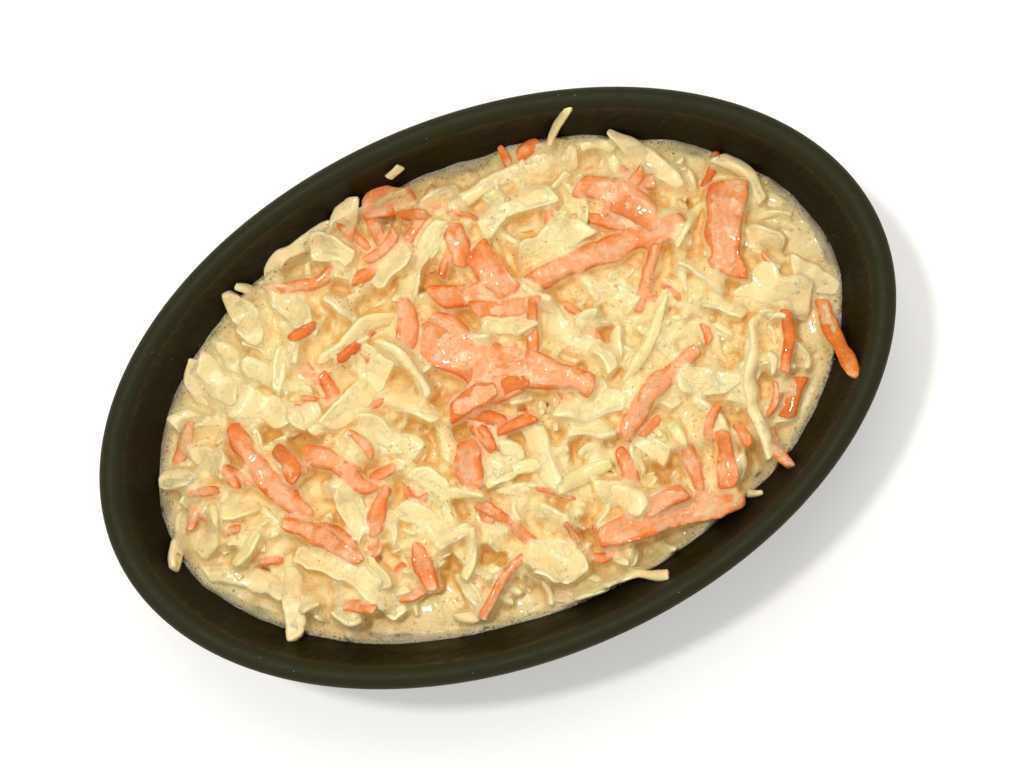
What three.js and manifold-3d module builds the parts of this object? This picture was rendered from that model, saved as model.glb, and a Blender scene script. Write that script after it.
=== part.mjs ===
// Coleslaw in an oval bowl.
// The bowl is a thick matte one with a round lip and a shallow foot. The coleslaw is one heap: a core of
// creamy dressing that fits the bowl up to the level shown, with its larger cabbage and carrot shreds
// fused on. One scrap of cabbage sticks to the bowl's wall above the dressing.
// Millimetres, +Z up, +X along the bowl's length. The origin is at the centre of the foot, on the table.

import * as THREE from "three";
import { mergeVertices } from "three/addons/utils/BufferGeometryUtils.js";
import Module from "manifold-3d";

const wasm = await Module();
wasm.setup();

// Bowl
const RIM_LENGTH = 165;
const RIM_WIDTH = 109;
const BOWL_HEIGHT = 44;
const LIP_WIDTH = 4.4;
const LIP_RISE = 2.3;
const LIP_TUCK = 0.6;
const WALL_CURVE = 1.4; // exponent of the wall's profile: 1 is a straight cone, 2 a quarter ellipse
const END_SLOPE = 1.12; // the wall runs in faster at the two long ends than at the sides
const FLOOR_INSET = 31;
const FLOOR_HEIGHT = 4;
const FOOT_INSET = 30;
const FOOT_WIDTH = 3;
const FOOT_RECESS = 1.2;
const AROUND = 64; // facets round the oval
const WALL_STEPS = 7;
const LIP_STEPS = 6;

// Coleslaw
const LEVEL = 28.5; // height of the dressing where it meets the wall
const MOUND = 3; // how much higher the middle stands
const LUMP = 0.9; // height of the dressing's own swells
const SWELL_X = 5.2; // how far apart the swells lie along the bowl, across it and aslant
const SWELL_Y = 4.4;
const SWELL_ASLANT = 8.3;
const GAP = 0.3; // clearance between the food and the bowl
const SURFACE_RINGS = 14;
const SINK = 1.4; // how deep a shred's underside lies in the dressing
const STRIP_STEPS = 4;
const TAPER_POWER = 0.7; // below 1, a shred keeps its width until near its ends
const CROWN = 0.3; // share of its height by which a shred's edges lie lower than its middle
const END_DROP = 0.4; // share of its height that a shred loses where it is narrowest

// Photograph, pixels: where the bowl's axis meets the food, the turn of the bowl's length, and the scale
const PHOTO_CENTRE = [498, 392];
const PHOTO_TURN = THREE.MathUtils.degToRad(23.07);
const PIXELS_PER_MM = 4.89;

// Shreds, as they lie in the photograph: the two ends in pixels, then width, sideways bow and the
// height over the dressing in millimetres.
const CARROTS = [
  [535, 286, 683, 230, 5.4, 1.2, 2.4],
  [725, 188, 728, 278, 7.4, -1.0, 2.4],
  [694, 354, 621, 437, 4.2, -1.2, 2.2],
  [600, 537, 736, 499, 6.4, 1.0, 3.0],
  [236, 430, 312, 520, 4.6, -1.4, 2.2],
  [819, 303, 848, 387, 3.0, 0.6, 2.0],
  [426, 342, 536, 368, 8.2, -1.6, 1.6],
  [452, 412, 566, 380, 6.6, 2.6, 2.4],
  [402, 303, 409, 352, 4.4, 0.8, 1.8],
  [436, 300, 534, 306, 5.4, 1.2, 1.8],
  [476, 254, 512, 294, 6.0, -1.0, 2.2],
  [578, 192, 640, 226, 6.2, 1.0, 2.0],
  [424, 220, 354, 280, 3.0, 1.8, 1.8],
  [362, 204, 414, 200, 5.2, 1.2, 2.0],
  [352, 234, 266, 290, 2.6, 4.6, 1.4],
  [468, 445, 468, 489, 5.6, 0.4, 2.0],
  [380, 317, 340, 358, 3.4, 1.0, 1.6],
  [308, 456, 372, 494, 4.0, 1.0, 1.8],
  [288, 524, 362, 562, 3.6, 1.0, 1.8],
  [388, 490, 378, 535, 3.8, -0.6, 1.4],
  [420, 547, 434, 589, 4.0, -0.6, 1.4],
  [478, 506, 534, 545, 2.6, 0.6, 1.0],
  [522, 556, 482, 616, 2.2, -0.8, 1.0],
  [618, 452, 630, 489, 4.0, 0.6, 1.8],
  [640, 512, 682, 496, 4.4, 0.4, 1.8],
  [678, 442, 697, 488, 2.8, 0.6, 1.8],
  [718, 436, 722, 488, 4.0, 0.6, 1.8],
  [783, 316, 777, 373, 2.2, 0.4, 1.4],
  [793, 380, 782, 418, 4.2, -0.4, 1.2],
  [652, 248, 637, 314, 2.8, 0.6, 1.6],
  [278, 452, 301, 479, 4.2, 0.4, 1.4],
  [323, 377, 330, 417, 3.6, 1.0, 1.4],
  [456, 230, 458, 268, 4.0, 0.2, 1.6],
  [757, 434, 784, 467, 2.6, -0.4, 2.2],
];
const CABBAGES = [
  [438, 222, 400, 305, 4.2, 0.6, 3.0],
  [447, 212, 527, 170, 3.4, 0.8, 1.8],
  [480, 228, 552, 196, 5.0, 1.0, 1.4],
  [520, 266, 584, 230, 5.6, 0.8, 1.6],
  [537, 168, 572, 156, 6.6, 0.4, 3.0],
  [548, 150, 567, 121, 2.0, 0.6, 1.6],
  [606, 142, 680, 188, 4.2, 1.0, 2.6],
  [715, 164, 760, 202, 3.6, 1.4, 2.2],
  [745, 280, 806, 302, 8.6, -0.6, 2.6],
  [697, 205, 677, 252, 2.0, -0.8, 2.0],
  [534, 294, 602, 356, 5.6, -2.6, 2.6],
  [585, 292, 632, 308, 5.8, 0.6, 1.8],
  [660, 296, 622, 384, 2.6, 0.8, 2.0],
  [556, 408, 624, 408, 5.4, 0.2, 1.8],
  [523, 418, 556, 486, 5.0, -0.4, 3.0],
  [558, 490, 607, 465, 3.4, 0.6, 1.8],
  [487, 487, 538, 468, 3.4, 0.8, 1.8],
  [750, 324, 768, 458, 2.8, -2.4, 2.2],
  [676, 384, 734, 386, 5.6, 0.4, 1.0],
  [600, 490, 642, 511, 5.4, 0.4, 2.6],
  [600, 578, 660, 567, 2.6, 0.6, 1.0],
  [530, 556, 576, 574, 7.0, 0.8, 2.4],
  [178, 374, 288, 414, 7.6, -1.6, 2.6],
  [230, 297, 250, 346, 5.6, 0.8, 2.4],
  [270, 305, 306, 330, 5.0, 0.6, 1.6],
  [312, 252, 350, 262, 5.2, 0.6, 2.2],
  [405, 250, 378, 286, 4.6, 0.8, 1.8],
  [325, 366, 396, 320, 3.2, 1.8, 2.2],
  [386, 344, 430, 397, 2.4, 0.8, 2.2],
  [388, 360, 334, 430, 5.4, 0.8, 1.8],
  [386, 402, 440, 416, 4.8, 0.6, 1.8],
  [364, 424, 420, 452, 5.0, 0.4, 1.0],
  [162, 478, 192, 482, 4.6, 0.4, 1.6],
  [190, 455, 226, 474, 5.4, 0.6, 1.8],
  [204, 514, 256, 506, 4.4, 0.4, 2.0],
  [222, 516, 205, 557, 3.0, 0.4, 2.0],
  [184, 516, 181, 568, 3.2, -0.6, 2.2],
  [262, 537, 237, 565, 3.4, 0.4, 1.8],
  [294, 566, 299, 636, 4.2, 0.2, 3.0],
  [206, 576, 286, 594, 4.4, 0.8, 1.4],
  [300, 556, 402, 614, 5.0, 2.6, 1.6],
  [343, 490, 360, 541, 4.2, 0.4, 1.4],
];
const CARROT_TIP = 0.5; // share of its width that a shred keeps at its ends
const CABBAGE_TIP = 0.8;

// The scrap of cabbage on the wall
const SCRAP_HEIGHT = 37;
const SCRAP_ANGLE = THREE.MathUtils.degToRad(91.5); // round the bowl from its +X end
const SCRAP_LENGTH = 4;
const SCRAP_WIDTH = 1.7;
const SCRAP_THICKNESS = 0.8;
const SCRAP_TURN = THREE.MathUtils.degToRad(35);

const HALF_LENGTH = RIM_LENGTH / 2;
const HALF_WIDTH = RIM_WIDTH / 2;

// The half length and half width of the oval that lies a given distance inside the rim. Inside the
// floor's edge the ovals shrink evenly to the centre.
function semiAxes(inset) {
  const wall = Math.min(inset, FLOOR_INSET);
  const share = inset > FLOOR_INSET ? (HALF_WIDTH - inset) / (HALF_WIDTH - FLOOR_INSET) : 1;
  return [(HALF_LENGTH - END_SLOPE * wall) * share, (HALF_WIDTH - wall) * share];
}

// Turns a profile of [inset, height] points about Z and stretches it to the oval.
function ovalLathe(profile) {
  const points = profile.map(([inset, z]) => new THREE.Vector2(HALF_WIDTH - inset, z));
  const geometry = new THREE.LatheGeometry(points, AROUND);
  const position = geometry.getAttribute("position");
  for (let i = 0; i < position.count; i++) {
    const [x, height, y] = [position.getX(i), position.getY(i), -position.getZ(i)];
    const radius = Math.hypot(x, y);
    const [a, b] = semiAxes(HALF_WIDTH - radius);
    const turn = radius > 1e-6 ? [x / radius, y / radius] : [0, 0];
    position.setXYZ(i, a * turn[0], b * turn[1], height);
  }
  return geometry;
}

// How far in from the lip a wall of this curve lies, and how high, both as shares of the whole wall.
const curveIn = (up) => 1 - (1 - (1 - up) ** WALL_CURVE) ** (1 / WALL_CURVE);
const curveUp = (inwards) => 1 - (1 - (1 - inwards) ** WALL_CURVE) ** (1 / WALL_CURVE);

const LIP_HEIGHT = BOWL_HEIGHT - LIP_RISE;
const wallInset = (z) => {
  const up = (z - FLOOR_HEIGHT) / (LIP_HEIGHT - FLOOR_HEIGHT);
  return LIP_WIDTH + (FLOOR_INSET - LIP_WIDTH) * curveIn(up);
};

// The wall's height shares at even turns along its curve, from the floor to the lip.
const wallShares = Array.from({ length: WALL_STEPS + 1 }, (_, i) => {
  return 1 - Math.cos((Math.PI / 2) * (i / WALL_STEPS)) ** (2 / WALL_CURVE);
});

function bowlProfile() {
  const inside = wallShares.map((up) => {
    const z = FLOOR_HEIGHT + up * (LIP_HEIGHT - FLOOR_HEIGHT);
    return [wallInset(z), z];
  });
  const lip = Array.from({ length: LIP_STEPS - 1 }, (_, i) => {
    const turn = (Math.PI * (i + 1)) / LIP_STEPS;
    return [(LIP_WIDTH / 2) * (1 + Math.cos(turn)), LIP_HEIGHT + LIP_RISE * Math.sin(turn)];
  });
  const outside = wallShares.map((up) => {
    return [LIP_TUCK + (FOOT_INSET - LIP_TUCK) * curveIn(up), up * (LIP_HEIGHT - LIP_TUCK)];
  });
  const foot = [
    [FOOT_INSET + FOOT_WIDTH, 0],
    [FOOT_INSET + FOOT_WIDTH + FOOT_RECESS, FOOT_RECESS],
    [HALF_WIDTH, FOOT_RECESS],
  ];
  const fromFloor = [[HALF_WIDTH, FLOOR_HEIGHT], ...inside, ...lip, [0, LIP_HEIGHT], ...outside.reverse()];
  return [...fromFloor, ...foot].reverse();
}

// The dressing's own surface, with swells that die out at the wall.
const EDGE_INSET = wallInset(LEVEL) + GAP;
function surface(x, y) {
  const [a, b] = semiAxes(EDGE_INSET);
  const out = Math.min(1, (x / a) ** 2 + (y / b) ** 2);
  const square = Math.sin(x / SWELL_X + 0.8) * Math.cos(y / SWELL_Y - 0.5);
  const swell = square + 0.7 * Math.sin((x + 1.6 * y) / SWELL_ASLANT);
  return LEVEL + MOUND * (1 - out) + LUMP * swell * (1 - out ** 2);
}

// The wall's height at a place in plan, found from how far inside the rim it lies.
function wallHeight(x, y) {
  let [low, high] = [0, FLOOR_INSET];
  for (let i = 0; i < 24; i++) {
    const inset = (low + high) / 2;
    const [a, b] = semiAxes(inset);
    if ((x / a) ** 2 + (y / b) ** 2 > 1) high = inset;
    else low = inset;
  }
  const inwards = Math.max(0, (low - LIP_WIDTH) / (FLOOR_INSET - LIP_WIDTH));
  return FLOOR_HEIGHT + curveUp(inwards) * (LIP_HEIGHT - FLOOR_HEIGHT);
}

const bed = (x, y) => Math.max(surface(x, y), wallHeight(x, y) + GAP);

function fromPhoto(px, py) {
  const point = new THREE.Vector2(px - PHOTO_CENTRE[0], PHOTO_CENTRE[1] - py);
  return point.rotateAround(new THREE.Vector2(), -PHOTO_TURN).divideScalar(PIXELS_PER_MM);
}

// The space that food can fill: the bowl's inside, less the gap, and straight up from the lip.
function cavityProfile(top) {
  const wall = wallShares.map((up) => {
    const z = FLOOR_HEIGHT + up * (LIP_HEIGHT - FLOOR_HEIGHT);
    return [wallInset(z) + GAP, z + GAP];
  });
  return [[HALF_WIDTH, FLOOR_HEIGHT + GAP], ...wall, [LIP_WIDTH + GAP, top], [HALF_WIDTH, top]];
}

function coreProfile() {
  const wall = cavityProfile(BOWL_HEIGHT)
    .slice(0, -2)
    .filter(([, z]) => z < LEVEL - 1);
  const rings = Array.from({ length: SURFACE_RINGS }, (_, i) => {
    const share = 1 - (i + 1) / SURFACE_RINGS;
    return [HALF_WIDTH - (HALF_WIDTH - EDGE_INSET) * share, LEVEL];
  });
  return { profile: [...wall, [EDGE_INSET, LEVEL], ...rings], wallPoints: wall.length };
}

function coreGeometry() {
  const { profile, wallPoints } = coreProfile();
  const geometry = ovalLathe(profile);
  const position = geometry.getAttribute("position");
  for (let i = 0; i < position.count; i++) {
    if (i % profile.length < wallPoints) continue;
    position.setZ(i, surface(position.getX(i), position.getY(i)));
  }
  return geometry;
}

// A shred as a bent bar with a crowned top, whose underside is buried in the dressing.
function stripGeometry([x0, y0, x1, y1, width, bow, rise], tip) {
  const [start, end] = [fromPhoto(x0, y0), fromPhoto(x1, y1)];
  const along = end.clone().sub(start);
  const side = new THREE.Vector2(-along.y, along.x).normalize();
  const middle = start.clone().add(end).divideScalar(2).addScaledVector(side, 2 * bow);
  const curve = new THREE.QuadraticBezierCurve(start, middle, end);
  const geometry = new THREE.BoxGeometry(1, 1, 1, STRIP_STEPS, 2, 1);
  const position = geometry.getAttribute("position");
  for (let i = 0; i < position.count; i++) {
    const share = position.getX(i) + 0.5;
    const centre = curve.getPoint(share);
    const across = curve.getTangent(share).rotateAround(new THREE.Vector2(), Math.PI / 2);
    const taper = tip + (1 - tip) * Math.sin(Math.PI * share) ** TAPER_POWER;
    const place = centre.clone().addScaledVector(across, position.getY(i) * width * taper);
    const crown = rise * (1 - CROWN * Math.abs(2 * position.getY(i)));
    const over = position.getZ(i) > 0 ? crown * (1 - END_DROP * (1 - taper)) : -SINK;
    position.setXYZ(i, place.x, place.y, bed(centre.x, centre.y) + over);
  }
  return geometry;
}

function toSolid(geometry) {
  geometry.deleteAttribute("normal");
  geometry.deleteAttribute("uv");
  const merged = mergeVertices(geometry, 1e-4);
  return new wasm.Manifold(
    new wasm.Mesh({
      numProp: 3,
      vertProperties: new Float32Array(merged.attributes.position.array),
      triVerts: new Uint32Array(merged.index.array),
    }),
  );
}

function toGeometry(solid) {
  const { vertProperties, triVerts } = solid.getMesh();
  const geometry = new THREE.BufferGeometry();
  geometry.setAttribute("position", new THREE.BufferAttribute(vertProperties, 3));
  geometry.setIndex(new THREE.BufferAttribute(triVerts, 1));
  geometry.computeVertexNormals();
  return geometry;
}

function coleslawGeometry() {
  let heap = toSolid(coreGeometry());
  for (const row of CABBAGES) heap = heap.add(toSolid(stripGeometry(row, CABBAGE_TIP)));
  for (const row of CARROTS) heap = heap.add(toSolid(stripGeometry(row, CARROT_TIP)));
  const trimmed = heap.intersect(toSolid(ovalLathe(cavityProfile(BOWL_HEIGHT))));
  const bodies = trimmed.decompose().sort((one, other) => other.volume() - one.volume());
  return toGeometry(bodies[0]);
}

// The scrap lies flat on the wall, turned about the wall's own normal.
function scrapMesh(material) {
  const scrap = new THREE.Mesh(new THREE.BoxGeometry(SCRAP_LENGTH, SCRAP_WIDTH, SCRAP_THICKNESS), material);
  scrap.name = "cabbage_scrap";
  const [a, b] = semiAxes(wallInset(SCRAP_HEIGHT));
  const [x, y, z] = [a * Math.cos(SCRAP_ANGLE), b * Math.sin(SCRAP_ANGLE), SCRAP_HEIGHT];
  const slopeX = (wallHeight(x + 1, y) - wallHeight(x - 1, y)) / 2;
  const slopeY = (wallHeight(x, y + 1) - wallHeight(x, y - 1)) / 2;
  const normal = new THREE.Vector3(-slopeX, -slopeY, 1).normalize();
  const level = new THREE.Vector3(0, 0, 1).cross(normal).normalize();
  const along = level.applyAxisAngle(normal, SCRAP_TURN);
  scrap.setRotationFromMatrix(new THREE.Matrix4().makeBasis(along, normal.clone().cross(along), normal));
  scrap.position.set(x, y, z).addScaledVector(normal, SCRAP_THICKNESS / 2 + 2 * GAP);
  return scrap;
}

const bowlMaterial = new THREE.MeshStandardMaterial({ color: 0x2b2818, roughness: 0.5, metalness: 0 });
const slawMaterial = new THREE.MeshStandardMaterial({ color: 0xf0d9a0, roughness: 0.3, metalness: 0 });
const cabbageMaterial = new THREE.MeshStandardMaterial({ color: 0xd8cfae, roughness: 0.35, metalness: 0 });

const bowl = new THREE.Mesh(ovalLathe(bowlProfile()), bowlMaterial);
bowl.name = "bowl";
const coleslaw = new THREE.Mesh(coleslawGeometry(), slawMaterial);
coleslaw.name = "coleslaw";

const root = new THREE.Group();
root.add(bowl, coleslaw, scrapMesh(cabbageMaterial));

export default root;
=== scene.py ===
"""Looks of the coleslaw in its oval bowl.

The bowl is lathed again, finely. The coleslaw is laid down shred by shred on a grid of heights, each one
over those below it, and the dressing is then drawn up round and partly over the shreds. Lengths are in
millimetres until a mesh is made, and in metres from there on.
"""

import math
from collections import namedtuple

import bpy
import numpy as np
from mathutils import Matrix, Vector


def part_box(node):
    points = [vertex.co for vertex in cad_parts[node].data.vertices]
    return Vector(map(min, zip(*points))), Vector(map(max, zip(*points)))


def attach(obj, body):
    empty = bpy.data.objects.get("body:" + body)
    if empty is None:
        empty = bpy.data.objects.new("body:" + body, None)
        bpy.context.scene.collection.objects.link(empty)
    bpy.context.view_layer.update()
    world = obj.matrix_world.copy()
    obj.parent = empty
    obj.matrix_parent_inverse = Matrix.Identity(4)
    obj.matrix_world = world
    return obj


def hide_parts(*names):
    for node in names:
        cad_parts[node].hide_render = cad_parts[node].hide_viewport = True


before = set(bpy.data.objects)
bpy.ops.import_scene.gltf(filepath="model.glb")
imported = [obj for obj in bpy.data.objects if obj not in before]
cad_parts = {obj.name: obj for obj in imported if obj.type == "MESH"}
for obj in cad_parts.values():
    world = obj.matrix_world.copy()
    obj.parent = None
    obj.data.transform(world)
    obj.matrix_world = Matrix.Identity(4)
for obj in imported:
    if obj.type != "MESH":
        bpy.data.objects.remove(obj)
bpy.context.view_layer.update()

MM = 0.001

# The bowl's sizes, as in the part's source
bowl_lowest, bowl_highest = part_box("bowl")
HALF_LENGTH = bowl_highest.x / MM
HALF_WIDTH = bowl_highest.y / MM
BOWL_HEIGHT = bowl_highest.z / MM
LIP_WIDTH = 4.4
LIP_RISE = 2.3
LIP_TUCK = 0.6
WALL_CURVE = 1.4
END_SLOPE = 1.12
FLOOR_INSET = 31
FLOOR_HEIGHT = 4
FOOT_INSET = 30
FOOT_WIDTH = 3
FOOT_RECESS = 1.2
LIP_HEIGHT = BOWL_HEIGHT - LIP_RISE
BOWL_AROUND = 288
BOWL_WALL_STEPS = 40
BOWL_LIP_STEPS = 14

# The coleslaw's sizes, as in the part's source
LEVEL = 28.5
MOUND = 3
LUMP = 0.9
SWELL_X = 5.2
SWELL_Y = 4.4
SWELL_ASLANT = 8.3

# The photograph's scale at the food, in the image frame of 1024 by 768 pixels
PHOTO_CENTRE = np.array([498, 392])
PHOTO_TURN = math.radians(23.07)
PIXELS_PER_MM = 4.89

# The camera, in millimetres of the object's frame
CAMERA_PLACE = Vector((12.54, -33.23, 469.91))
CAMERA_TARGET = Vector((3.22, -0.88, 41.9))
CAMERA_ROLL = math.radians(22.97)
CAMERA_LENS = 76.4

# The grid that the heap is laid on
CELL = 0.32
GRID_HALF_X = 77
GRID_HALF_Y = 51
BED_DEPTH = 3.0  # how far under the finished surface the first shreds lie

# Kinds of shred: how far the line sways and the section turns, how square the section is, its bumps' height
# and size, its ribs' height, and how many rounds of evening out its line gets where it rests
Kind = namedtuple("Kind", "sway most_roll square rough rough_size rib rounds")
CABBAGE = Kind(0.9, 0.9, 3.8, 0.24, 2.4, 0.24, 26)
CARROT = Kind(0.5, 0.32, 5.0, 0.16, 1.5, 0.12, 90)

# All that is drawn at random comes from here, in one order
SEED = 41
MOST_SEEDS = 9999
random = np.random.default_rng(SEED)


# Noise

def lattice(x, y, z, seed):
    """One number from 0 to 1 for each point of a whole-number lattice."""
    mixed = x * 374761393 + y * 668265263 + z * 1442695041 + seed * 1274126177
    mixed = mixed & 0xFFFFFFFF
    mixed = ((mixed ^ (mixed >> 13)) * 1103515245) & 0xFFFFFFFF
    mixed = mixed ^ (mixed >> 16)
    return (mixed & 0xFFFFFF) / float(0xFFFFFF)


def smooth_noise(points, size, seed=0):
    """Noise from -1 to 1 whose features are about the given size."""
    scaled = np.asarray(points, float) / size
    if scaled.shape[-1] == 2:
        scaled = np.concatenate([scaled, np.zeros_like(scaled[..., :1])], -1)
    low = np.floor(scaled).astype(np.int64)
    share = scaled - low
    share = share * share * (3 - 2 * share)
    total = 0
    for corner in np.ndindex(2, 2, 2):
        weight = 1
        for axis in range(3):
            weight = weight * (share[..., axis] if corner[axis] else 1 - share[..., axis])
        place = [low[..., axis] + corner[axis] for axis in range(3)]
        total = total + weight * lattice(place[0], place[1], place[2], seed)
    return total * 2 - 1


def rough_noise(points, size, seed=0, octaves=3):
    """Several sizes of smooth noise, the finer the weaker."""
    total = sum(0.5**i * smooth_noise(points, size / 2**i, seed + i) for i in range(octaves))
    return total / (2 - 0.5 ** (octaves - 1))


def step(low, high, value):
    """0 under low, 1 over high, and smooth between them."""
    share = np.clip((value - low) / (high - low), 0, 1)
    return share * share * (3 - 2 * share)


# The bowl's shape

def semi_axes(inset):
    """Half length and half width of the oval a given distance inside the rim."""
    wall = np.minimum(inset, FLOOR_INSET)
    shrunk = (HALF_WIDTH - inset) / (HALF_WIDTH - FLOOR_INSET)
    share = np.where(inset > FLOOR_INSET, shrunk, 1)
    return (HALF_LENGTH - END_SLOPE * wall) * share, (HALF_WIDTH - wall) * share


def wall_curve(share):
    return 1 - (1 - (1 - share) ** WALL_CURVE) ** (1 / WALL_CURVE)


def wall_inset(z):
    up = np.clip((z - FLOOR_HEIGHT) / (LIP_HEIGHT - FLOOR_HEIGHT), 0, 1)
    return LIP_WIDTH + (FLOOR_INSET - LIP_WIDTH) * wall_curve(up)


def wall_height(x, y):
    """The inner wall's height at places in plan."""
    low = np.zeros(np.shape(x))
    high = np.full(np.shape(x), float(FLOOR_INSET))
    for _ in range(26):
        middle = (low + high) / 2
        a, b = semi_axes(middle)
        outside = (x / a) ** 2 + (y / b) ** 2 > 1
        high = np.where(outside, middle, high)
        low = np.where(outside, low, middle)
    inwards = np.clip((low - LIP_WIDTH) / (FLOOR_INSET - LIP_WIDTH), 0, 1)
    return FLOOR_HEIGHT + wall_curve(inwards) * (LIP_HEIGHT - FLOOR_HEIGHT)


def surface(x, y):
    """The food's general surface, with swells that die out at the wall."""
    a, b = semi_axes(wall_inset(LEVEL) + 0.3)
    out = np.minimum(1, (x / a) ** 2 + (y / b) ** 2)
    square = np.sin(x / SWELL_X + 0.8) * np.cos(y / SWELL_Y - 0.5)
    swell = square + 0.7 * np.sin((x + 1.6 * y) / SWELL_ASLANT)
    return LEVEL + MOUND * (1 - out) + LUMP * swell * (1 - out**2)


def from_photo(px, py):
    """The place in plan, in millimetres, of a pixel on the food."""
    right = (np.asarray(px, float) - PHOTO_CENTRE[0]) / PIXELS_PER_MM
    up = (PHOTO_CENTRE[1] - np.asarray(py, float)) / PIXELS_PER_MM
    cos, sin = math.cos(PHOTO_TURN), math.sin(PHOTO_TURN)
    return np.stack([right * cos + up * sin, up * cos - right * sin], -1)


# Shreds that show in the photograph: two ends in pixels, then width, sideways bow and thickness in
# millimetres. CARROTS and CABBAGES are also solids in the part's source.

CARROTS = [
    (535, 286, 683, 230, 5.4, 1.2, 2.4),
    (725, 188, 728, 278, 7.4, -1.0, 2.2),
    (694, 354, 621, 437, 4.2, -1.2, 2.0),
    (600, 537, 736, 499, 6.4, 1.0, 2.8),
    (236, 430, 312, 520, 4.6, -1.4, 2.2),
    (819, 303, 841, 383, 3.2, 0.3, 1.8),
    (426, 342, 536, 368, 8.2, -1.6, 1.6),
    (452, 412, 566, 380, 6.6, 2.6, 2.4),
    (402, 303, 409, 352, 4.4, 0.8, 1.8),
    (436, 300, 534, 306, 5.4, 1.2, 1.8),
    (476, 254, 512, 294, 6.0, -1.0, 2.2),
    (578, 190, 652, 222, 6.2, 1.0, 2.0),
    (424, 220, 354, 280, 3.0, 1.8, 1.8),
    (364, 213, 414, 208, 6.2, 1.2, 2.2),
    (352, 234, 266, 290, 2.6, 4.6, 1.4),
    (468, 445, 468, 489, 5.6, 0.4, 2.0),
    (380, 317, 340, 358, 3.4, 1.0, 1.6),
    (308, 456, 372, 494, 4.0, 1.0, 1.8),
    (288, 524, 362, 562, 3.6, 1.0, 1.8),
    (388, 490, 378, 535, 3.8, -0.6, 1.4),
    (420, 547, 434, 589, 4.0, -0.6, 1.4),
    (478, 506, 534, 545, 2.6, 0.6, 1.0),
    (522, 556, 482, 616, 2.2, -0.8, 1.0),
    (618, 452, 630, 489, 4.0, 0.6, 1.8),
    (640, 512, 682, 496, 4.4, 0.4, 1.8),
    (678, 442, 697, 488, 2.8, 0.6, 1.8),
    (718, 436, 722, 488, 4.0, 0.6, 1.8),
    (783, 316, 777, 373, 2.2, 0.4, 1.4),
    (793, 380, 782, 418, 4.2, -0.4, 1.2),
    (652, 248, 637, 314, 2.8, 0.6, 1.6),
    (278, 452, 301, 479, 4.2, 0.4, 1.4),
    (323, 377, 330, 417, 3.6, 1.0, 1.4),
    (456, 230, 458, 268, 4.0, 0.2, 1.6),
    (757, 434, 784, 467, 2.6, -0.4, 2.0),
]
MORE_CARROTS = [
    (340, 232, 368, 251, 2.2, 0.4, 1.2),
    (447, 217, 478, 222, 1.4, 0.2, 1.2),
    (499, 151, 507, 171, 1.7, 0.2, 1.2),
    (517, 158, 538, 146, 3.2, 0.3, 1.4),
    (622, 172, 640, 195, 2.6, 0.3, 1.2),
    (690, 226, 697, 234, 2.2, 0.0, 1.4),
    (712, 156, 702, 186, 1.7, 0.3, 1.2),
    (662, 288, 678, 302, 1.5, 0.2, 1.0),
    (773, 386, 764, 418, 1.3, 0.8, 1.2),
    (655, 420, 640, 438, 2.0, 0.2, 1.2),
    (700, 328, 706, 345, 1.8, 0.1, 1.0),
    (731, 428, 742, 448, 2.6, 0.2, 1.4),
    (765, 431, 770, 459, 2.4, 0.3, 1.4),
    (566, 524, 578, 541, 2.0, 0.2, 1.0),
    (293, 343, 316, 332, 2.4, 0.3, 1.4),
    (305, 402, 317, 402, 1.2, 0.1, 1.0),
    (470, 425, 527, 410, 3.0, 0.6, 1.8),
    (472, 430, 495, 452, 2.8, 0.4, 1.6),
    (192, 425, 172, 468, 2.9, 0.4, 1.2),
    (196, 506, 190, 530, 2.1, 0.3, 1.2),
    (228, 470, 238, 488, 2.8, 0.3, 1.2),
    (231, 535, 241, 533, 1.6, 0.1, 1.0),
    (253, 580, 262, 560, 2.2, 0.3, 1.4),
    (262, 565, 281, 560, 2.4, 0.2, 1.4),
    (206, 571, 224, 571, 1.4, 0.2, 1.0),
    (347, 608, 377, 610, 2.4, 0.2, 1.2),
    (372, 480, 394, 468, 2.8, 0.2, 1.4),
    (352, 436, 374, 458, 2.1, 0.3, 1.2),
    (536, 492, 572, 500, 1.4, 0.3, 1.0),
    (436, 318, 470, 350, 4.0, 0.5, 1.6),
    (430, 326, 440, 360, 3.6, 0.5, 1.4),
    (318, 530, 358, 548, 2.8, 0.5, 1.4),
    (606, 198, 652, 186, 3.6, 0.5, 1.4),
    (640, 176, 600, 214, 3.0, 0.6, 1.4),
    (374, 226, 382, 252, 2.8, 0.4, 1.4),
    (494, 434, 534, 414, 4.4, 0.3, 1.2),
]
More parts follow.
